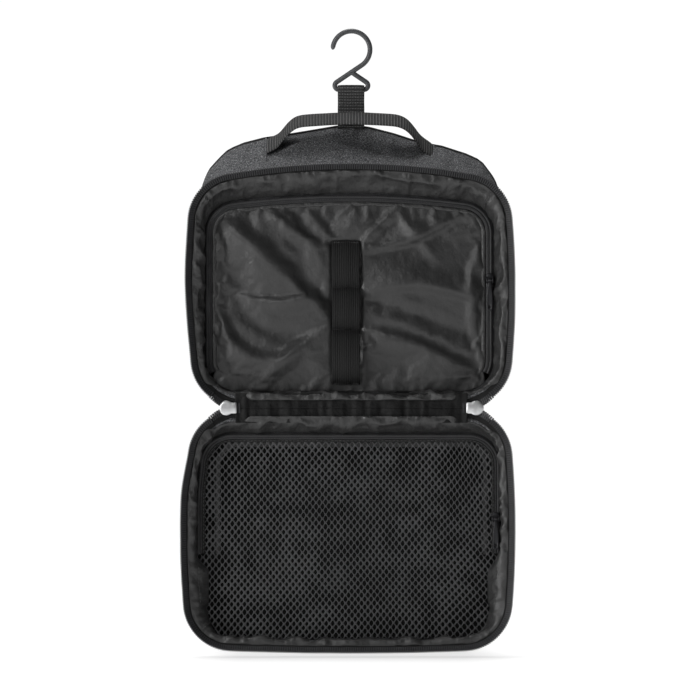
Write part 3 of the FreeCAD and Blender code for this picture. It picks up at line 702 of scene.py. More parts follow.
def tray_wall(facing):
    """The padded gusset, a closed wall between the rim and the back edge, softly dented."""
    word = WORD[facing]
    s = np.concatenate([[0, 0.02, 0.05], np.linspace(0.1, 0.9, 11), [0.95, 0.98, 1.0]])[:, None, None]
    dent = wall_dent(facing, REACH[facing][None], s[:, :, 0])
    layers = []
    for depth, rows in ((0.0, slice(None)), (PADDING, slice(None, None, -1))):
        front = RIM[facing].at(CORNER_R - depth, RIM_Y + 0.2)
        back = back_curve(facing, depth, BACK_Y - 0.8)
        skin = front[None] * (1 - s) + back[None] * s + RIM[facing].out()[None] * dent[:, :, None]
        layers.append(skin[rows])
    rows = np.concatenate(layers)
    held = np.ones((len(rows), 1), bool)
    held[3 : len(s) - 3] = False
    rows = relax(rows, held, (1, 3), True, True, pressure=3.0, loosen=0.02, most=1.6)
    sculpt = Sculpt().surface(rows, wrap_u=True, wrap_v=True)
    nodes = [f"{word}_gusset", f"{word}_gusset_padding", f"{word}_seam_binding"]
    wall = sculpt.piece(f"{word}_gusset_wall", BODY[facing], HEATHER, nodes)


def rings(edge, centre, steps):
    """Copies of an edge drawn in towards a centre."""
    return centre + (edge[None] - centre) * np.asarray(steps)[:, None, None]


def planar(points):
    """UVs straight from X and Z, with a column more for a surface that wraps."""
    flat = points[:, :, [0, 2]]
    return np.concatenate([flat, flat[:, :1]], 1)


def back_panel(facing):
    """The outer face, padded, crowned a little and held in by its piped edge."""
    word = WORD[facing]
    edge = back_curve(facing, 0.9, BACK_Y - 0.3)
    centre = np.array([0, BACK_Y - 0.3, (NEAR_Z[facing] + FAR_Z[facing]) / 2 + 6 * (facing > 0)])
    steps = np.concatenate([[0.03], np.linspace(0.08, 0.92, 26), [0.95, 0.975, 1.0]])
    outer = rings(edge, centre, steps)
    r = steps[:, None]
    x, z = outer[..., 0], outer[..., 2]
    crown = 1.5 * (1 - r**6) * (0.75 + 0.25 * rough(x / 60, z / 60))
    crown = crown + (1 - r**8) * (0.45 * rough(x / 24, z / 26, 4.0) + 0.12 * rough(x / 8, z / 8, 9.0))
    outer[..., 1] += crown
    inner = rings(edge, centre, steps[::-1])
    inner[..., 1] -= 2.3 - 0.9 * (steps[::-1] > 0.96)[:, None]
    points = np.concatenate([outer, inner])
    held = np.concatenate([steps > 0.93, steps < 9])[:, None]
    points = relax(points, held, (1, 4), True, pressure=2.0, loosen=0.01, most=1.5)
    sculpt = Sculpt().surface(points, wrap_u=True, caps=True, uv=planar(points))
    panel = sculpt.piece(f"{word}_back", BODY[facing], HEATHER, [f"{word}_back_panel", f"{word}_back_foam"])

    angle = np.linspace(0, 2 * math.pi, 9)[:-1]
    cord = [back_curve(facing, 0.3 - 1.25 * math.cos(a), BACK_Y - 0.3 + 1.25 * math.sin(a)) for a in angle]
    Sculpt().surface(cord, wrap_u=True, wrap_v=True).piece(f"{word}_piping", BODY[facing], BINDING)
    row = back_curve(facing, 4.2, BACK_Y + 0.85)
    seam(f"{word}_back_stitches", BODY[facing], (np.concatenate([row, row[:1]]), -FRONT, 2.6, 1.0, 0.2))


def band_quads(bands, sides):
    """Quads between rings of points that follow one another."""
    spots = [(band * sides, k, (k + 1) % sides) for band in range(bands) for k in range(sides)]
    return [[start + k, start + n, start + sides + n, start + sides + k] for start, k, n in spots]


def tooth_row(sculpt, roots, out, pitch=1.6):
    """Separate moulded teeth along a tape's edge: a neck, a shoulder and a rounded head."""
    roots = np.asarray(roots, float)
    reach = lengths(roots)
    count = int(reach[-1] / pitch)
    at = (np.arange(count) + 0.5) * reach[-1] / count
    behind, place, ahead = (pick(at + step, reach, roots) for step in (-0.2, 0.0, 0.2))
    axis = unit(pick(at, reach, np.broadcast_to(out, roots.shape)))
    along = unit(ahead - behind)
    face = np.cross(axis, along)
    sections = [(-2.2, 0.46, 0.70), (0.5, 0.50, 0.85), (1.3, 0.48, 0.75), (2.0, 0.60, 0.80), (2.7, 0.42, 0.5)]
    square = [(-1, -1), (1, -1), (1, 1), (-1, 1)]
    points = [
        place + axis * reach_out + along * (a * half) + face * (b * thick)
        for reach_out, half, thick in sections
        for a, b in square
    ]
    points = np.stack(points, 1).reshape(-1, 3)
    quads = band_quads(4, 4) + [[3, 2, 1, 0], [16, 17, 18, 19]]
    faces = (np.arange(count)[:, None, None] * 20 + np.array(quads)[None]).reshape(-1, 4)
    uvs = np.tile([(0, 0), (1, 0), (1, 1), (0, 1)], (len(faces), 1))
    return sculpt.raw(points, faces, uvs)


def rim_zip(facing):
    """Half of the main zip: a splayed tape seamed to the rim, with its row of teeth."""
    word, rim, keep = WORD[facing], RIM[facing], zip_run(facing)
    ripple = 0.12 * rough(REACH[facing] / 12, 2.0 * facing)
    profile = [
        (CORNER_R - 0.9, RIM_Y + 0.2), (CORNER_R - 0.7, RIM_Y - 0.6), (CORNER_R - 0.2, RIM_Y - 1.0),
        (CORNER_R + 0.3, RIM_Y - 1.5), (CORNER_R + 2.2, RIM_Y - 3.6), (CORNER_R + 5.3, RIM_Y - 5.7),
        (CORNER_R + 5.8, RIM_Y - 5.1), (CORNER_R + 2.9, RIM_Y - 2.9), (CORNER_R + 1.1, RIM_Y - 0.5),
        (CORNER_R + 0.4, RIM_Y + 1.2), (CORNER_R - 0.2, RIM_Y + 0.9),
    ]
    points = swept(rim, [(d + ripple, y) for d, y in profile], keep)
    Sculpt().closed(points).piece(f"{word}_rim_tape", BODY[facing], ZIP_TAPE, [f"{word}_zip_tape"])
    out = rim.out(0.78, -0.63)[keep]
    row = tooth_row(Sculpt(), rim.at(CORNER_R + 4.1 + ripple, RIM_Y - 4.8)[keep], out)
    row.piece(f"{word}_teeth", BODY[facing], TOOTH, [f"{word}_zip_teeth"], flat=True)
    for end in (0, -1):
        zip_lead(facing, points[end], out[end])


def over_hinge(made, facing):
    """Bakes a piece's placement into its mesh, the same for either tray."""
    if facing > 0:
        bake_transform(made)
    else:
        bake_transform(made)


def zip_lead(facing, section, out):
    """The zip's end, from the tape's last section on the rim to the slider at the end of the spine."""
    word = WORD[facing]
    side = 1 if section[0, 0] > 0 else -1
    way = "right" if side > 0 else "left"
    rim = RIM[facing]
    x = np.abs(rim.at(CORNER_R, 0.0)[:, 0])
    near = (x > SLIDER_X - 8.0) & (x < abs(section[:, 0].mean()) + 1.0) & (rim.normal[:, 1] * facing < -0.3)
    route = np.flatnonzero(near & (rim.base[:, 0] * side > 0))
    t = (x[route] - x[route].min()) / np.ptp(x[route])
    order = np.argsort(-t)
    route, t = route[order], 1 - t[order]
    line = rim.at(CORNER_R + 2.1 + 1.7 * np.interp(x, (x[route].min(), x[route].max()), (1, 0)), RIM_Y)[route]
    line[:, 1] -= 2.4 * (1 - smooth(t, 0.0, 0.55))
    path = resample(line, 12)
    t = np.linspace(0, 1, 12)[:, None]
    across = unit(out * (1 - smooth(t, 0, 0.6)) + np.array([side * 0.2, 0, -facing * 1.0]) * smooth(t, 0, 0.6))
    along = unit(np.gradient(path, axis=0))
    face = unit(np.cross(along, across))
    width = np.linspace(6.8, 5.4, 12)
    grid = ribbon(path, across, face, width, 0.9, 7)
    lead = Sculpt().closed(grid).piece(f"{word}_zip_lead_{way}", None, ZIP_TAPE)
    row = tooth_row(Sculpt(), path + across * (width[:, None] / 2 - 0.3), across)
    teeth = row.piece(f"{word}_lead_teeth_{way}", None, TOOTH, flat=True)
    over_hinge(lead, facing)
    over_hinge(teeth, facing)


# ---------------------------------------------------------------- linings
def front_normals(points):
    """Unit normals of a grid, on the side that faces the user."""
    cross = unit(np.cross(np.gradient(points, axis=1), np.gradient(points, axis=0)) + 1e-9)
    return np.where(cross[..., 1:2] > 0, -cross, cross)


def gathers(u, t, seed, edge=1.1):
    """Puckers that run in from both edges of a strip, and softer swells across it. t goes from 0 to 1."""
    close = np.exp(-t / 0.2) + np.exp(-(1 - t) / 0.2)
    fine = rough(u / 4.6, t * 1.1, seed) + 0.6 * rough(u / 2.4, t * 1.7, seed + 4)
    swell = rough(u / 19, t * 1.4, seed + 8) + 0.45 * rough(u / 8.5, t * 2.2, seed + 12)
    fold = 1 - 2.2 * np.abs(rough(u / 13, t * 1.5 + 3, seed + 16))
    fold = fold + 0.6 * (1 - 2.2 * np.abs(rough(u / 6.5, t * 1.8, seed + 20)))
    return edge * fine * close + (0.8 * swell + 1.4 * fold) * np.sin(math.pi * np.clip(t, 0, 1)) ** 0.6


def facing_strip(facing):
    """The lining between the rim and the pocket's zip, gathered into both seams and mitred at the corners."""
    word, rim, pocket = WORD[facing], RIM[facing], POCKET[facing]
    t = np.concatenate([[0, 0.04], np.linspace(0.09, 0.91, 13), [0.96, 1.0]])[:, None]
    base = rim.at(CORNER_R, 0.0)
    beside = np.abs(base[:, 0])
    beside = smooth(beside, 70, 77) * smooth(-beside, -102, -97) * (np.abs(base[:, 2] - NEAR_Z[facing]) < 20)
    front = rim.at(CORNER_R + 1.2 - 3.4 * beside, RIM_Y - 2.9 + 2.9 * beside)
    behind = pocket.at(POCKET_R + 3.2 - strip_in(facing), POCKET_Y[facing] - 0.9)
    over = rim.at(CORNER_R - 4.0, RIM_Y - 2.2 + 2.0 * beside)
    w = t[..., None]
    points = front * (1 - w) ** 2 + over * 2 * w * (1 - w) + behind * w**2
    u = REACH[facing][None]
    lift = 0.9 * np.sin(math.pi * t) + gathers(u, t, 5.0 * facing + 20)
    for turn in rim.turns:
        gap = np.abs(u - u[0, turn])
        lift = lift - 1.1 * np.exp(-((gap / 0.9) ** 2)) * np.sin(math.pi * t) ** 0.3
        lift = lift + 0.5 * np.exp(-(((gap - 2.2) / 1.2) ** 2)) * np.sin(math.pi * t) ** 0.3
    lift = np.where(lift < 0, 0.45 * lift, lift) * np.clip(np.minimum(t / 0.04, (1 - t) / 0.04), 0.25, 1)
    lift = lift * (1 - 0.6 * beside) * (1 - 0.055 * strip_in(facing))
    points = points + front_normals(points) * lift[..., None]
    tuck = pocket.at(POCKET_R + 2.9 - strip_in(facing), POCKET_Y[facing] - 0.1)
    root = rim.at(CORNER_R + 1.5 - 3.4 * beside, RIM_Y - 1.9 + 2.9 * beside)
    points = np.concatenate([root[None], points, tuck[None]])
    sculpt = Sculpt().surface(points, wrap_u=True)
    strip = sculpt.piece(f"{word}_facing_cloth", BODY[facing], NYLON, [f"{word}_facing"])
    thicken(strip, CLOTH, -1.0)
    rows = [(points[2:-2, turn + 1] + [0, -0.4, 0], FRONT, 1.9, 0.6, 0.2) for turn in rim.turns]
    rows.append((pocket.at(POCKET_R + 4.6 - strip_in(facing), POCKET_Y[facing] - 1.7), FRONT, 1.9, 0.8, 0.14))
    for side in (-1, 1):
        foot = np.flatnonzero((strip_in(facing) > 8.5) & (pocket.base[:, 0] * side > 0))
        if len(foot):
            rows.append((points[10, foot] + FRONT * 0.25, FRONT, 1.9, 0.7, 0.2))
    seam(f"{word}_facing_stitches", BODY[facing], *rows)


def inner_lining(facing):
    """The pan of lining behind the pocket."""
    word = WORD[facing]
    s = np.linspace(0, 1, 14)[:, None, None]
    front, back = RIM[facing].at(CORNER_R - LINING, RIM_Y + 1.0), back_curve(facing, LINING, BACK_Y - LINING)
    wall = front[None] * (1 - s) + back[None] * s
    wall = wall - (2.2 if facing > 0 else 0.0) * np.sin(math.pi * s) * RIM[facing].out()[None]
    centre = np.array([0, BACK_Y - LINING, (NEAR_Z[facing] + FAR_Z[facing]) / 2])
    floor = rings(back, centre, np.linspace(0.97, 0.03, 30))
    x, z = floor[..., 0], floor[..., 2]
    fold = 1.1 * rough(x / 30, z / 34, 7.0) + 0.5 * rough(x / 9, z / 14, 2.0) + 0.5
    floor[..., 1] -= np.clip(fold, 0, 2.4) * np.linspace(0, 1, 30)[:, None] ** 0.3
    points = np.concatenate([wall, floor])
    sculpt = Sculpt().surface(points, wrap_u=True)
    sculpt.faces.append([sculpt.count - points.shape[1] + k for k in range(points.shape[1])])
    sculpt.uvs.append(points[-1][:, [0, 2]])
    # The pan gets the darker nylon: painted shade for the recess behind the pocket.
    made = sculpt.piece(f"{word}_inner_lining", BODY[facing], SHADED_NYLON, [f"{word}_lining"])


def patch(outline, distance, rows, cols):
    """A grid of (x, z) points over the inside of an outline. Row 0 is the near side."""
    curve = outline.at(distance, 0.0)[:, [0, 2]]
    c0, c1, c2, c3 = outline.turns
    near = resample(np.concatenate([curve[c3:], curve[: c0 + 1]]), cols)
    far = resample(curve[c1 : c2 + 1][::-1], cols)
    right = resample(curve[c0 : c1 + 1], rows)
    left = resample(curve[c2 : c3 + 1][::-1], rows)
    u = np.linspace(0, 1, cols)[None, :, None]
    v = np.linspace(0, 1, rows)[:, None, None]
    sides = (1 - v) * near[None] + v * far[None] + (1 - u) * left[:, None] + u * right[:, None]
    corner = (1 - u) * (1 - v) * near[0] + u * (1 - v) * near[-1] + (1 - u) * v * far[0] + u * v * far[-1]
    return sides - corner


def unzipped(facing):
    """1 beside the pocket's foot, where its zip has ended, and 0 along the zip."""
    z = POCKET[facing].at(POCKET_R, 0.0)[:, 2]
    return 1 - smooth(z, ZIP_END_Z[facing] - 4, ZIP_END_Z[facing] + 2)


def strip_in(facing):
    """How far the facing widens past the zip's line. Only the lower one does, at each side below the zip."""
    outline = POCKET[facing]
    z = outline.base[:, 1]
    side = smooth(np.abs(outline.normal[:, 0]), 0.2, 0.98) * smooth(z, z.min() - 14, z.min() + 6)
    below = 1 - smooth(z, ZIP_END_Z[facing] - 12, ZIP_END_Z[facing])
    return 9.5 * side * below * (facing < 0)


def panel_edge(facing, slot=3.1, foot=3.4):
    """How far the pocket's panel reaches: short of the zip, and past its ends right to the facing."""
    return POCKET_R - slot + (slot + foot) * unzipped(facing) - strip_in(facing)


def crease(x, z, path, width, height, skew=0.0):
    """A soft ridge along a path, fading towards its ends and steeper on one side."""
    total = np.zeros_like(x)
    path = resample(soften(path), 24)
    best = np.full(x.shape, 1e9)
    for k in range(len(path) - 1):
        a, b = path[k], path[k + 1]
        d = b - a
        t = np.clip(((x - a[0]) * d[0] + (z - a[1]) * d[1]) / (d @ d), 0, 1)
        off = np.hypot(x - a[0] - t * d[0], z - a[1] - t * d[1])
        side = np.sign((x - a[0]) * d[1] - (z - a[1]) * d[0])
        fade = np.sin(math.pi * np.clip((k + t + 0.6) / (len(path) + 0.2), 0, 1)) ** 0.6
        slope = np.clip(1.06 - off / (width * (1 - skew * side)), 0, 1)
        shape = (slope * slope * (3 - 2 * slope) * 0.35 + slope * 0.65) * fade
        total = np.where(off < best, shape, total)
        best = np.minimum(best, off)
    return height * total


ELASTIC_X = (corners("elastic_loops")[0][0] + corners("elastic_loops")[1][0]) / 2
ELASTIC_STOPS = (-137.0, -168.0, -197.5, -235.5)
ELASTIC_DEPTHS = (8.5, 10.0, 14.0)


def panel_relief(x, z, inside):
    """The lining pocket's panel: how far its cloth stands towards the user."""
    lift = 1.6 * smooth(inside, 0, 45) + 0.7 * rough(x / 30, z / 34, 1.0) + 0.3 * rough(x / 11, z / 13, 5.0)
    lift = lift + 0.13 * rough(x / 4.2, z / 5, 9.0)
    for path, width, height, skew in (
        (((-104, -106), (-80, -130), (-50, -156), (-17, -190)), 17.0, 5.0, -0.42),
        (((-62, -104), (-46, -116), (-32, -134), (-20, -150)), 8.0, 1.6, -0.3),
        (((-97, -160), (-92, -200), (-66, -222), (-34, -214)), 12.0, 3.6, -0.45),
        (((-84, -170), (-72, -190), (-52, -202), (-20, -203)), 8.0, -1.8, 0.0),
        (((-12, -136), (-22, -124), (-36, -106)), 6.0, 1.9, 0.3),
        (((-15, -140), (-44, -128), (-60, -108)), 6.0, 1.6, 0.4),
        (((8, -136), (20, -124), (34, -106)), 6.0, 1.7, -0.3),
        (((9, -142), (44, -134), (84, -112)), 9.0, 2.4, 0.4),
        (((9, -169), (48, -164), (92, -176)), 11.0, 2.8, 0.5),
        (((9, -176), (50, -188), (90, -206)), 8.0, -1.6, 0.0),
        (((9, -198), (44, -206), (88, -228)), 11.0, 2.6, -0.5),
        (((-16, -170), (-44, -180), (-80, -176)), 7.0, 1.7, 0.3),
        (((-16, -199), (-36, -206), (-64, -236)), 8.0, 1.8, 0.3),
        (((30, -108), (40, -126), (62, -150)), 8.0, 1.9, 0.4),
        (((94, -130), (84, -160), (88, -206)), 9.0, 1.8, 0.3),
    ):
        lift = lift + crease(x, z, path, width, 1.4 * height, skew)
    pucker = rough(x / 3.4, z / 9, 2.0) * np.exp(-inside / 6.0) * smooth(inside, 0, 1.5)
    lift = lift * smooth(inside, 0, 12) + 0.8 * pucker
    for _ in range(2):
        beside = lift[:-2, 1:-1] + lift[2:, 1:-1] + lift[1:-1, :-2] + lift[1:-1, 2:]
        lift[1:-1, 1:-1] = (beside + 2 * lift[1:-1, 1:-1]) / 6
    under = smooth(12.5 - np.abs(x - ELASTIC_X), 0, 4) * smooth(ELASTIC_STOPS[0] + 4 - z, 0, 4)
    return lift * (1 - under) - 0.5 * under


def inset(outline, distance, x, z):
    """How far a point lies inside a parallel curve of an outline."""
    curve = resample(outline.at(distance, 0.0)[:, [0, 2]], 260)
    gap = np.full(x.shape, 1e9)
    for point in curve:
        gap = np.minimum(gap, np.hypot(x - point[0], z - point[1]))
    return gap


def lining_panel():
    """The zipped panel in the upper tray, creased from its corners and from the elastic's stitching."""
    flat = patch(POCKET[1], panel_edge(1), 93, 131)
    x, z = flat[..., 0], flat[..., 1]
    inside = inset(POCKET[1], panel_edge(1), x, z)
    y = POCKET_Y[1] - 0.75 - panel_relief(x, z, inside)
    points = xyz(x, y, z)
    sewn = (np.abs(x - ELASTIC_X) < 10) & (np.min([np.abs(z - stop) for stop in ELASTIC_STOPS], 0) < 2.0)
    points = relax(points, sewn | (inside < 1.0), (2, 2), loosen=0.018, most=2.0)
    sculpt = Sculpt().surface(points, uv=flat)
    cloth = sculpt.piece("lining_pocket_cloth", "upper_half", PANEL_NYLON, ["lining_pocket_panel"])
    thicken(cloth, CLOTH, -1.0)


# ---------------------------------------------------------------- pockets
def pocket_zip(facing, name):
    """Two tapes, two rows of coil turns and a row of stitches beside each. Returns the zip's stretch of outline."""
    pocket, y = POCKET[facing], POCKET_Y[facing]
    z = pocket.at(POCKET_R, 0.0)[:, 2]
    kept = np.flatnonzero(z > ZIP_END_Z[facing])
    if facing < 0:
        gap = np.flatnonzero(np.diff(kept) > 1)
        kept = np.concatenate([kept[gap[0] + 1 :], kept[: gap[0] + 1]])
    body = BODY[facing]
    tapes = Sculpt()
    for side in (-1, 1):
        edge = 4.0 if side < 0 or facing > 0 else 3.0
        profile = [(0.5, -0.1), (1.9, -0.35), (edge - 1.0, -0.2), (edge, -0.1), (edge, 0.45), (0.5, 0.45)]
        tapes.closed(swept(pocket, [(POCKET_R + side * d, y + up) for d, up in profile], kept))
    tapes.piece(f"{name}_pocket_tapes", body, POCKET_TAPE, [f"{name}_pocket_zip_tape"])

    coil = Sculpt()
    middle = resample(pocket.at(POCKET_R, y - 0.75)[kept], 900)
    across = np.cross(unit(np.gradient(middle, axis=0)), FRONT)
    for side in (-1, 1):
        tooth_row(coil, middle + across * side * 0.9, -across * side * 0.55 + FRONT * 0.18, COIL_PITCH)
    coil.piece(f"{name}_pocket_coil", body, COIL, [f"{name}_pocket_zip_chain"], flat=True)
    rows = [(pocket.at(POCKET_R + d, y - 0.35)[kept], FRONT, 1.7, 0.7, 0.12) for d in (2.75, -2.75)]
    seam(f"{name}_zip_stitches", body, *rows)
    return kept


def panel_hem(facing, name, kept, paint, width=2.6):
    """The folded edge of a panel beside its zip, top-stitched."""
    pocket, y = POCKET[facing], POCKET_Y[facing] - 0.75
    u = REACH[facing][kept]
    ripple = 0.22 * rough(u / 5, 3.0) + 0.1 * rough(u / 2.2, 8.0)
    outer = POCKET_R - (3.0 if facing > 0 else 1.7)
    profile = [
        (0.0, 0.35), (-0.25, -0.25), (0.35, -0.62), (width * 0.5, -0.75), (width, -0.5), (width + 0.3, 0.1),
        (width * 0.5, 0.45),
    ]
    rows = [pocket.at(outer - d, y)[kept] + FRONT * (ripple - up)[:, None] for d, up in profile]
    Sculpt().closed(np.stack(rows, 1)).piece(f"{name}_panel_hem", BODY[facing], paint)
    row = pocket.at(outer - width * 0.6, y)[kept] + FRONT * (ripple + 0.72)[:, None]
    seam(f"{name}_hem_stitches", BODY[facing], (row, FRONT, 1.9, 0.8, 0.13))


def elastic_strap():
    """Three slack loops of ribbed elastic, sewn down between them with bar tacks."""
    front = POCKET_Y[1] - 1.5
    stops = ELASTIC_STOPS
    path = [(front - 0.3, stops[0] + 1.6), (front - 0.5, stops[0] + 0.4)]
    for top, bottom, depth in zip(stops, stops[1:], ELASTIC_DEPTHS):
        t = np.linspace(0, 1, 19)[1:-1]
        bow = (depth - 2.2) * np.sin(math.pi * t) ** 0.62
        drop = 0.06 * (top - bottom) * np.sin(math.pi * t)
        path += [(front - 0.5 - b, top + (bottom - top) * k - d) for b, k, d in zip(bow, t, drop)]
        path.append((front - 0.5, bottom))
    path.append((front - 0.3, stops[-1] - 1.0))
    line = resample(soften(path, 2), 110)
    points = xyz(ELASTIC_X, line[:, 0], line[:, 1])
    along = unit(np.gradient(points, axis=0))
    out = np.cross(along, [1.0, 0, 0])
    out *= np.where(out[:, 1:2] > 0, -1, 1)
    points[:, 0] += 0.5 * rough(line[:, 1] / 22, 4.0)
    grid = ribbon(points, (1, 0, 0), out, 19.6 + 0.3 * rough(line[:, 1] / 14, 1.0), 1.15, 15)
    curl = 0.35 * np.cos(np.linspace(-1, 1, 15) * math.pi * 1.5)
    grid += (out[:, None] * np.concatenate([curl, curl[::-1]])[None, :, None]) * 0.6
    Sculpt().closed(grid).piece("elastic_strap", "upper_half", ELASTIC, ["elastic_loops"])
    tacks = Sculpt()
    half = 8.6
    for stop in stops:
        for row in (-0.55, 0.0, 0.55):
            zig = 0.35 * np.where(np.arange(30) % 2, 1, -1)
            bar = xyz(ELASTIC_X + np.linspace(-half, half, 30), front - 1.15, stop + row + zig)
            tacks.closed(tube(bar, 0.16, 5))
    tacks.piece("elastic_tacks", "upper_half", THREAD, ["elastic_bartacks"])


def mesh_net():
    """The knitted net: staggered lozenge holes between rounded strands, drawn askew towards its right edge."""
    pitch_x, pitch_z = 4.55, 5.7
    edge = panel_edge(-1, slot=2.9, foot=3.0)
    outline = POCKET[-1].at(edge, 0.0)[:, [0, 2]]
    low, high = outline.min(0), outline.max(0)
    rows = np.arange(math.floor(low[1] / (pitch_z / 2)) - 1, math.ceil(high[1] / (pitch_z / 2)) + 2)
    cols = np.arange(math.floor(low[0] / pitch_x) - 2, math.ceil(high[0] / pitch_x) + 3)
    r, c = np.meshgrid(rows, cols, indexing="ij")
    centre = np.stack([(c + 0.5 * (r % 2)) * pitch_x, r * pitch_z / 2], -1).reshape(-1, 2)
    skewed = net_warp(centre)
    curve = resample(outline, 240)
    ring = np.concatenate([curve, curve[:1]])
    crossings = np.zeros(len(skewed), int)
    for a, b in zip(ring, ring[1:]):
        over = (a[1] > skewed[:, 1]) != (b[1] > skewed[:, 1])
        at = a[0] + (skewed[:, 1] - a[1]) * (b[0] - a[0]) / (b[1] - a[1] if b[1] != a[1] else 1e-9)
        crossings += over & (skewed[:, 0] < at)
    centre = centre[crossings % 2 == 1]
    count = 16
    angle = np.linspace(0, 2 * math.pi, count + 1)[:-1]
    ca, sa = np.cos(angle), np.sin(angle)
    square = 1 / (np.abs(ca) + np.abs(sa))
    border = np.stack([ca * square * pitch_x / 2, sa * square * pitch_z / 2], -1)
    x, z = centre.T
    open_by = 1.0 + 0.16 * rough(x / 9, z / 9, 3.0) + 0.07 * rough(x / 2.1, z / 2.3)
    blunt = (np.abs(ca) ** 1.45 + np.abs(sa) ** 1.45) ** (-1 / 1.45)
    hole = np.stack([ca * blunt * 1.28, sa * blunt * 1.95], -1)[None] * open_by[:, None, None]
    outer = np.repeat(border[None], len(centre), 0)
    between = outer * 0.52 + hole * 0.48
    flat = np.concatenate([outer, between, hole, between, outer], 1) + centre[:, None]
    rise = np.repeat([0.42, 0.34, 0.0, -0.34, -0.42], count)
    bent = net_warp(flat.reshape(-1, 2)).reshape(flat.shape)
    x, z = bent[..., 0], bent[..., 1]
    points = xyz(x, POCKET_Y[-1] - 0.55 - net_lift(x, z) - rise, z)
    faces = (np.arange(len(centre))[:, None, None] * 5 * count + np.array(band_quads(4, count))[None]).reshape(-1, 4)
    middle = np.round((outer + np.roll(outer, -1, 1)) / 2 + centre[:, None], 2) + 0.0
    _, which, shared = np.unique(middle.reshape(-1, 2), axis=0, return_inverse=True, return_counts=True)
    cell, at = np.nonzero(shared[which.ravel()].reshape(-1, count) == 1)
    first, after = cell * 5 * count + at, cell * 5 * count + (at + 1) % count
    rim = np.stack([first, first + 4 * count, after + 4 * count, after], -1)
    faces = np.concatenate([faces, rim])
    uvs = flat.reshape(-1, 2)[faces.ravel()]
    sculpt = Sculpt().raw(points.reshape(-1, 3), faces, uvs)
    made = sculpt.piece("mesh_pocket_net", "lower_half", NET, ["mesh_pocket_panel"], weld=0.02)


def net_warp(points):
    """Pulls the net slightly out of square, as stretched net is."""
    x, z = points[..., 0], points[..., 1]
    pull = smooth(x, 45, 100)
    drift = 1.6 * rough(x / 45, z / 40, 2.0)
    aside = x - 5.0 * pull * (z + 345) / 70 * pull + 0.8 * rough(x / 38, z / 36, 7.0)
    return np.stack([aside, z + drift - 5.5 * pull], -1)


def net_lift(x, z):
    """How far the net stands towards the user: a slack swell between its held edges."""
    side = smooth(96 - np.abs(x), 0, 34)
    tall = smooth(z, -416, -385) * smooth(-z, 275, 300)
    wave = 1.1 * rough(x / 30, z / 36, 6.0) + 0.4 * rough(x / 12, z / 15, 1.0)
    return side * tall * (1.9 + wave)


# ---------------------------------------------------------------- hinge
def hinge_cloth():
    """The spine: gathered lining in front and heather cloth behind, each in two pieces that meet at the fold."""
    for facing in (1, -1):
        z = np.linspace(NEAR_Z[facing] + facing * 3.4, HINGE_Z, 22)[:, None]
        x = np.linspace(-SPINE_END - 1.6, SPINE_END + 1.6, 200)[None]
        past = (z - HINGE_Z) * facing / (abs(NEAR_Z[facing] - HINGE_Z) + 3.4)
        pleat = rough(x / 7.5, z / 16, 2.0) + 0.8 * rough(x / 3.4, z / 11, 7.0) + 0.4 * rough(x / 16, z / 5, 3.0)
        rise = 1.5 + -0.8 * (1 - past**2) + 1.05 * pleat * (0.45 + 0.55 * (1 - past**4))
        points = xyz(x, RIM_Y - rise, z)
        # The spine's lining gets the darker nylon: painted shade.
        front = Sculpt().surface(points).piece(
            f"{WORD[facing]}_hinge_lining", None, SHADED_NYLON, ["spine_lining"] if facing > 0 else []
        )
        thicken(front, CLOTH, 0.0)
        behind = xyz(x, RIM_Y + 1.0 + 0.25 * rough(x / 20, z / 7, 4.0), HINGE_Z + (z - HINGE_Z) * 0.72)
        back = Sculpt().surface(behind).piece(
            f"{WORD[facing]}_hinge_shell", None, HEATHER, ["spine_outer"] if facing > 0 else []
        )
        thicken(back, SHELL_CLOTH, 0.0)
        for made in (front, back):
            over_hinge(made, facing)
    for side, word in ((-1, "left"), (1, "right")):
        chain = Sculpt()
        x = np.linspace(SPINE_END - 2.0, SLIDER_X + 1.0, 6) * side
        for f in (1, -1):
            line = xyz(x, RIM_Y, HINGE_Z + f * 2.6)
            chain.closed(ribbon(line, (0, 0, 1), FRONT, 2.8, 0.6, 5))
            tooth_row(chain, line - [0, 0, f * 1.3], (0, 0, -f))
        chain.piece(f"closed_zip_{word}", "spine", TOOTH, [f"closed_chain_{word}"], flat=True)


# ---------------------------------------------------------------- sliders
def plate(length, head, tail, thickness, dome):
    """A slider plate: square at its tail, round at its head, with a crest along it. Axes: along, across, up."""
    t = np.concatenate([np.linspace(0, 0.9, 19), [0.93, 0.955, 0.975, 0.985, 0.994, 1.0]])
    along = (t - 0.5) * length
    r = head / 2
    disc = np.sqrt(np.clip(r**2 - (along - length / 2 + r) ** 2, 0.01, None))
    half = np.where(along < length / 2 - r, np.maximum(disc, tail / 2), disc)
    half = half * np.clip(0.86 + t * 3.5, 0, 1)
    v = np.linspace(-1, 1, 13)
    a = along[:, None]
    b = half[:, None] * v[None]
    rim = (1 - np.abs(v) ** 7)[None] * np.clip(np.minimum(t, 1 - t) * 22, 0.15, 1)[:, None]
    crest = dome * (1 - np.abs(v)[None] ** 1.3) * np.clip(np.minimum(t, 1 - t) * 8, 0, 1)[:, None]
    upper, lower = xyz(a, b, thickness / 2 * rim + crest), xyz(a, b, -thickness / 2 * rim)
    return np.concatenate([upper, lower[:, ::-1]], 1)


def place_local(points, origin, along, out):
    """Carries (along, across, up) points to the bag."""
    along, out = np.asarray(along, float), np.asarray(out, float)
    across = np.cross(out, along)
    return origin + points[..., 0:1] * along + points[..., 1:2] * across + points[..., 2:3] * out


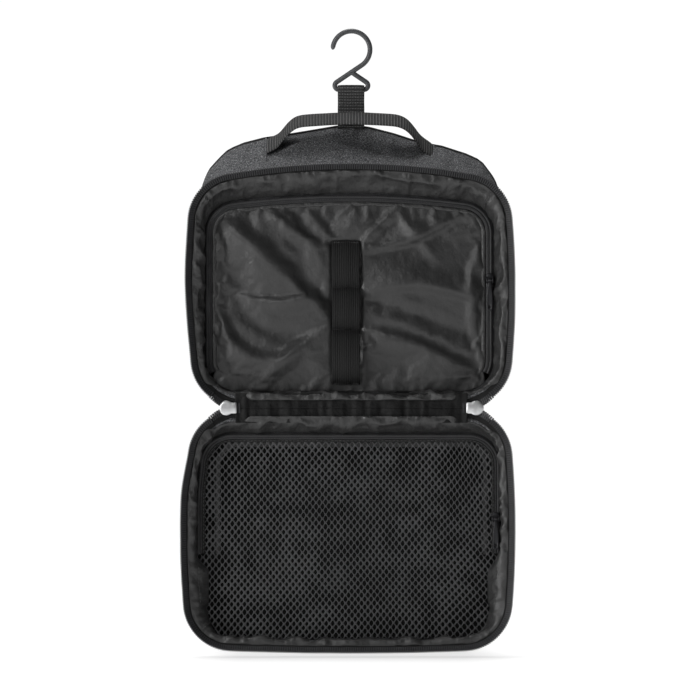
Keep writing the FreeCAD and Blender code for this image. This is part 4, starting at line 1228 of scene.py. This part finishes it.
def slider_piece(name, body, node, paint, origin, along, out, size):
    """A cast slider: two plates, their side walls, the post between them and the loop that holds the pull."""
    length, head, tail, plate_t, low, high, pin_w = size
    sculpt = Sculpt()

    def add(points, wrap_v=False):
        sculpt.surface(place_local(points, origin, along, out), wrap_u=True, wrap_v=wrap_v, caps=not wrap_v)

    for level, turn in ((high + plate_t / 2, 1), (low - plate_t / 2, -1)):
        points = plate(length, head, tail, plate_t, 0.32 * plate_t)
        points = points * [1, 1, turn] + [0, 0, level]
        add(points)
    t = np.linspace(-0.46, 0.2, 10)
    for side in (-1, 1):
        y = np.interp(t, (-0.46, -0.08, 0.2), (tail / 2 - 0.5, tail / 2 - 0.5, head / 2 - 0.6))
        for z0, z1 in ((high - 0.7, high + 0.1), (low - 0.1, low + 0.7)):
            line = xyz(t * length, side * y, (z0 + z1) / 2)
            add(ribbon(line, (0, 0, 1), (0, side, 0), z1 - z0, 0.8, 5))
    post = xyz(0.4 * length, 0.0, np.linspace(low, high, 6))
    add(tube(post, 0.55, 10, up=(1, 0, 0)))
    base = high + plate_t * 0.7
    arch = soften([
        (-2.0, base - 0.3), (-1.7, pin_w - 0.2), (-0.4, pin_w + 0.8), (0.7, pin_w + 0.7), (1.9, pin_w - 0.4),
        (2.3, base - 0.3),
    ])
    for side in (-1, 1):
        add(tube(xyz(arch[:, 0], side * 2.2, arch[:, 1]), 0.42, 8))
    add(tube(xyz(0.0, np.linspace(-2.4, 2.4, 9), pin_w), 0.5, 10, up=(0, 0, 1)))
    sculpt.piece(name, body, paint, [node])


def pull_piece(name, body, node, paint, origin, along, out, length, width, pin_w):
    """A tapered tab with an eye on the slider's pin, a waisted neck and a hole near its end."""
    sculpt = Sculpt()

    def add(points, wrap_v=False):
        sculpt.surface(place_local(points, origin, along, out), wrap_u=True, wrap_v=wrap_v, caps=not wrap_v)

    turn = np.linspace(0, 2 * math.pi, 17)[:-1]
    eye = xyz(np.cos(turn), 0.0, np.sin(turn))
    barrel = ((0.75, -1.3), (1.25, -1.4), (1.35, -1.0), (1.35, 1.0), (1.25, 1.4), (0.75, 1.3))
    add(np.stack([eye * r + [0, y, pin_w] for r, y in barrel], 0), wrap_v=True)
    angle = np.linspace(0, 2 * math.pi, 40, endpoint=False)
    hole_x, hole_r = -length + width * 0.62, width * 0.2
    mid, half_l = (-length - 1.2) / 2, (length - 1.2) / 2
    ca, sa = np.cos(angle), np.sin(angle)
    blunt = (np.abs(ca) ** 5 + np.abs(sa) ** 5) ** (-1 / 5)
    x = mid + half_l * ca * blunt
    waist = np.interp(x, (-length, -length * 0.45, -3.4, -1.2), (1.0, 0.86, 0.6, 0.5))
    y = width / 2 * sa * blunt * waist
    rim = np.stack([x, y], -1)
    hole = np.stack([hole_x + hole_r * ca, hole_r * sa], -1)
    thick = 1.2
    upper = [(0.0, 0.28), (0.04, 0.5), (0.3, 0.5), (0.94, 0.5), (1.0, 0.3)]
    loops = []
    for share, up in upper + [(share, -up) for share, up in reversed(upper)]:
        flat = rim * (1 - share) + hole * share
        loops.append(xyz(flat[:, 0], flat[:, 1], pin_w + up * thick))
    add(np.stack(loops, 0), wrap_v=True)
    sculpt.piece(name, body, paint, [node])


def sliders():
    """Both pairs. A size is the length, widths of head and tail, plate, heights of its inner faces and of its pin."""
    size = (12.4, 10.3, 7.8, 1.2, -1.4, 1.4, 4.5)
    for side, word in ((-1, "left"), (1, "right")):
        origin = np.array([side * SLIDER_X, RIM_Y, HINGE_Z])
        spot = (origin, (side, 0, 0), (0, 1, 0))
        slider_piece(f"main_zip_slider_{word}", "spine", f"main_slider_{word}", NICKEL, *spot, size)
        pull_piece(
            f"main_zip_pull_{word}", f"main_pull_{word}_body", f"main_pull_{word}", NICKEL, *spot, 24.0, 7.6, 4.5
        )
    size = (9.6, 6.0, 5.2, 0.9, -0.9, 2.0, 4.6)
    for facing, name in ((1, "lining"), (-1, "mesh")):
        low, high = corners(f"{name}_pocket_slider")
        zip_x = POCKET[facing].base[:, 0].max() + POCKET_R
        origin = np.array([zip_x - 0.9 * (facing < 0), POCKET_Y[facing], (low[2] + high[2]) / 2])
        spot = (origin, (0, 0, 1), FRONT)
        slider_piece(
            f"{name}_zip_slider", f"{name}_pocket_slider_body", f"{name}_pocket_slider", BLACK_METAL, *spot, size
        )
        pull_piece(
            f"{name}_zip_pull", f"{name}_pocket_pull_body", f"{name}_pocket_pull", BLACK_METAL, *spot, 21.5, 4.4, 4.6
        )


# ---------------------------------------------------------------- hook, strap and handle
def hang_hook():
    """One bent rod: a round seat, a straight shank and a triangular eye that closes on the shank."""
    seat_r, tilt, bend = 13.15, 34, 2.9
    slope, leave = math.radians(tilt), 90 - tilt
    start = seat_r * np.array([math.cos(math.radians(leave)), 0, -math.sin(math.radians(leave))])
    down = np.array([-math.cos(slope), 0, -math.sin(slope)])
    meet = start + down * (start[2] - BAR_Z) / math.sin(slope)
    corner_x = abs(meet[0] + bend / math.tan(slope / 2))
    leg = meet - down * bend / math.tan(slope / 2)
    seat = arc((0, 0), seat_r, 180, -leave, 72)
    shank = start + (leg - start) * np.linspace(0, 1, 24)[1:-1, None]
    left = arc((-corner_x, BAR_Z + bend), bend, 90 + tilt, 270, 18)
    bar = xyz(np.linspace(-corner_x, corner_x, 16)[1:-1], 0.0, BAR_Z)
    right = arc((corner_x, BAR_Z + bend), bend, -90, leave, 18)
    apex = start + down * (start[0] / math.cos(slope))
    rise = right[-1] + (apex - right[-1]) * np.linspace(0, 1, 14)[1:, None]
    path = resample(np.concatenate([seat, shank, left, bar, right, rise]), 230)
    radius = np.full(len(path), ROD_R)
    radius[:6] = ROD_R * np.sqrt(np.clip(1 - (1 - np.arange(6) / 6) ** 2.2, 0.05, 1))
    Sculpt().closed(tube(path, radius, 18, 0.94)).piece("hanging_hook", "hook_body", HOOK_PLASTIC, ["hook"])


def hang_strap():
    """Webbing folded round the hook's bar, its two plies sewn together and into the back seam."""
    turn = np.radians(np.linspace(180, 0, 15))
    over = [(2.75 * math.cos(a), BAR_Z + 2.75 * math.sin(a)) for a in turn]
    front = [(-0.6, -59), (-0.8, -55), (-0.75, -46), (-0.75, -38), (-1.6, -33.5)]
    side = np.array(front + over + [(1.6, -33.5), (0.75, -38), (0.75, -46), (0.75, -54)])
    line = resample(soften(side, 1), 120)
    points = xyz(0.0, line[:, 0], line[:, 1])
    along = unit(np.gradient(points, axis=0))
    out = np.cross(along, [1.0, 0, 0])
    points[:, 0] = ((corners("hang_strap")[0] + corners("hang_strap")[1]) / 2)[0] - 0.25
    width = 18.8 + 0.25 * rough(line[:, 1] / 6, line[:, 0] / 3)
    sculpt = Sculpt().closed(ribbon(points, (1, 0, 0), out, width, 1.3, 15))
    strap = sculpt.piece("hang_webbing", None, WEBBING, ["hang_strap", "strap_anchor"])
    rows = [(xyz(np.linspace(-8, 7.5, 20), -1.45, z), FRONT, 1.8, 0.6, 0.16) for z in (-38.4, -39.6)]
    for made in (strap, seam("hang_stitches", None, *rows)):
        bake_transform(made)


HANDLE_Y, HANDLE_Z, HANDLE_TILT = -7.0, -67.5, math.radians(25)


def carry_handle():
    """A webbing arch. Each end turns flat and goes into a seam that runs across the gusset."""
    route = [
        (-60.3, -2.5), (-58.5, -0.3), (-55, 1.4), (-51.5, 3.6), (-48.5, 7.5), (-44, 13.6), (-38.5, 18.0), (-30, 19.2),
        (0, 20.9), (26, 19.6), (33.5, 18.7), (39.5, 15.5), (45, 8.4), (48.5, 2.4), (51.5, -0.4), (55, -3.0),
        (57.6, -5.5),
    ]
    line = resample(soften(route), 170)
    up = np.array([0, -math.sin(HANDLE_TILT), math.cos(HANDLE_TILT)])
    wide = np.array([0, math.cos(HANDLE_TILT), math.sin(HANDLE_TILT)])
    points = np.array([0, HANDLE_Y, HANDLE_Z]) + line[:, :1] * [1, 0, 0] + line[:, 1:] * up
    sunk = 1 - smooth(line[:, 1], -1, 7)
    across = unit(wide[None] * (1 - sunk[:, None]) + np.array([0, 0.80, 0.60]) * sunk[:, None])
    along = unit(np.gradient(points, axis=0))
    out = unit(np.cross(along, across))
    out *= np.where((out @ up)[:, None] < 0, -1, 1)
    width = 20.0 - 3.2 * sunk + 0.3 * rough(line[:, 0] / 9, 2.0)
    grid = ribbon(points, across, out, width, 1.7, 13, 0.25)
    nodes = ["carry_handle", "handle_anchor_left", "handle_anchor_right"]
    handle = Sculpt().closed(grid).piece("handle_webbing", None, WEBBING, nodes)
    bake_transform(handle)


def cross_seams():
    """The two seams across the gusset that hold the handle's ends, each a narrow stitched fold."""
    for side, x0, word in ((-1, -60.9, "left"), (1, 58.0, "right")):
        k = np.argmin(np.abs(RIM[1].at(CORNER_R, 0.0)[:, 0] - x0) + 500 * (RIM[1].normal[:, 1] < 0.5))
        front = RIM[1].at(CORNER_R, RIM_Y + 0.2)[k]
        back = back_curve(1, 0.0, BACK_Y - 0.8)[k]
        t = np.linspace(0.02, 0.985, 40)[:, None]
        dent = wall_dent(1, np.full(40, REACH[1][k]), t[:, 0])
        line = front * (1 - t) + back * t + dent[:, None] * np.array([0, 0, 1.0])
        fold = ribbon(line + [0, 0, 0.25], (1, 0, 0), (0, -0.3, 1), 1.5, 0.9, 5)
        Sculpt().closed(fold).piece(f"gusset_seam_{word}", "upper_half", HEATHER)
        row = line + [side * 1.7, 0, 0.3]
        seam(f"gusset_seam_stitches_{word}", "upper_half", (row, (0, -0.3, 1), 2.3, 0.9, 0.16))


# ---------------------------------------------------------------- scene
def area_light(name, place, target, size, power):
    data = bpy.data.lights.new(name, "AREA")
    data.shape = "RECTANGLE"
    data.size, data.size_y = size
    data.energy = power
    made = bpy.data.objects.new(name, data)
    bpy.context.scene.collection.objects.link(made)
    made.location = place
    made.rotation_euler = (Vector(target) - Vector(place)).to_track_quat("-Z", "Y").to_euler()


WHITE = 1.03  # enough that the background is white everywhere


def surroundings():
    """A world that is white to the camera and bright in front of the bag, four lights, a table with a contact shadow
    painted into its glow, and the camera.
    """
    scene = bpy.context.scene
    world = bpy.data.worlds.new("studio")
    world.use_nodes = True
    scene.world = world
    tree = world.node_tree
    place = tree.nodes.new("ShaderNodeTexCoord")
    split = tree.nodes.new("ShaderNodeSeparateXYZ")
    tree.links.new(place.outputs["Generated"], split.inputs[0])
    ramp = tree.nodes.new("ShaderNodeValToRGB")
    for element, at, grey in zip(ramp.color_ramp.elements, (0.965, 0.99), (0.10, WHITE)):
        element.position, element.color = at, rgba(grey)
    tree.links.new(split.outputs[1], ramp.inputs[0])
    seen = tree.nodes.new("ShaderNodeMix")
    seen.data_type = "RGBA"
    tree.links.new(tree.nodes.new("ShaderNodeLightPath").outputs["Is Camera Ray"], seen.inputs["Factor"])
    tree.links.new(ramp.outputs[0], seen.inputs["A"])
    seen.inputs["B"].default_value = rgba(WHITE)
    tree.links.new(seen.outputs["Result"], tree.nodes["Background"].inputs["Color"])
    area_light("key", (-1.2, -0.6, -0.25), (0, 0, -0.2), (0.4, 0.5), 10)
    area_light("front", (-0.8, -1.3, 0.55), (0, 0, -0.15), (0.5, 0.5), 9)
    area_light("top", (-0.1, 0.1, 1.2), (0, 0, -0.1), (0.8, 0.4), 14)
    area_light("below", (-0.25, -0.8, -1.5), (0, 0, -0.25), (0.9, 0.5), 28)
    scene.view_settings.view_transform = "Standard"

    mesh = bpy.data.meshes.new("floor")
    z = cad_box[0][2] - 0.0035
    mesh.from_pydata([(-3, -2, z), (3, -2, z), (3, 3.5, z), (-3, 3.5, z)], [], [(0, 1, 2, 3)])
    floor = bpy.data.objects.new("floor", mesh)
    scene.collection.objects.link(floor)
    white = Paint("white_table_with_painted_shadow", Roughness=1.0, Specular_IOR_Level=0.0, Emission_Strength=1.0)
    white.set("Base Color", white.ramp(white.noise(400, 400, 2, True), (0.3, 0.30), (0.7, 0.31)))
    split = white.tree.nodes.new("ShaderNodeSeparateXYZ")
    white.tree.links.new(white.place.outputs["Object"], split.inputs[0])
    x, y = split.outputs[0], split.outputs[1]
    # Painted contact shadow: the table's glow is dimmed in a band under the bag, fading out to the sides and towards
    # the front. The glow also rises towards the back, so the table looks evenly white.
    beside = white.ramp(white.math("ABSOLUTE", x), (0.08, 1.0), (0.12, 0.0))
    under = white.ramp(white.math("ADD", y, 0.5), (0.03, 0.0), (0.15, 0.04), (0.27, 0.09), (0.40, 0.19), (0.60, 0.34))
    shade = white.math("MULTIPLY_ADD", white.math("MULTIPLY", beside, under), -1.0, 1.0)
    white.set("Emission Color", white.math("MULTIPLY", white.ramp(y, (0.02, 0.88), (0.3, WHITE)), shade))
    mesh.materials.append(white.material)

    data = bpy.data.cameras.new("camera")
    data.sensor_width = 36
    distance = 8.0
    data.lens = 36 * distance / 0.492
    camera = bpy.data.objects.new("camera", data)
    scene.collection.objects.link(camera)
    camera.location = (-0.001, RIM_Y * MM - distance, -0.2121)
    camera.rotation_euler = (math.radians(90), 0, 0)
    data.clip_start, data.clip_end = 0.1, 20
    scene.camera = camera


for facing in (1, -1):
    tray_wall(facing)
    back_panel(facing)
    rim_zip(facing)
    facing_strip(facing)
    inner_lining(facing)

lining_panel()
panel_hem(1, "lining", pocket_zip(1, "lining"), NYLON)
mesh_zip = pocket_zip(-1, "mesh")
mesh_net()
panel_hem(-1, "mesh", mesh_zip, BINDING, 1.7)
elastic_strap()
hinge_cloth()
sliders()
hang_hook()
hang_strap()
carry_handle()
cross_seams()
surroundings()
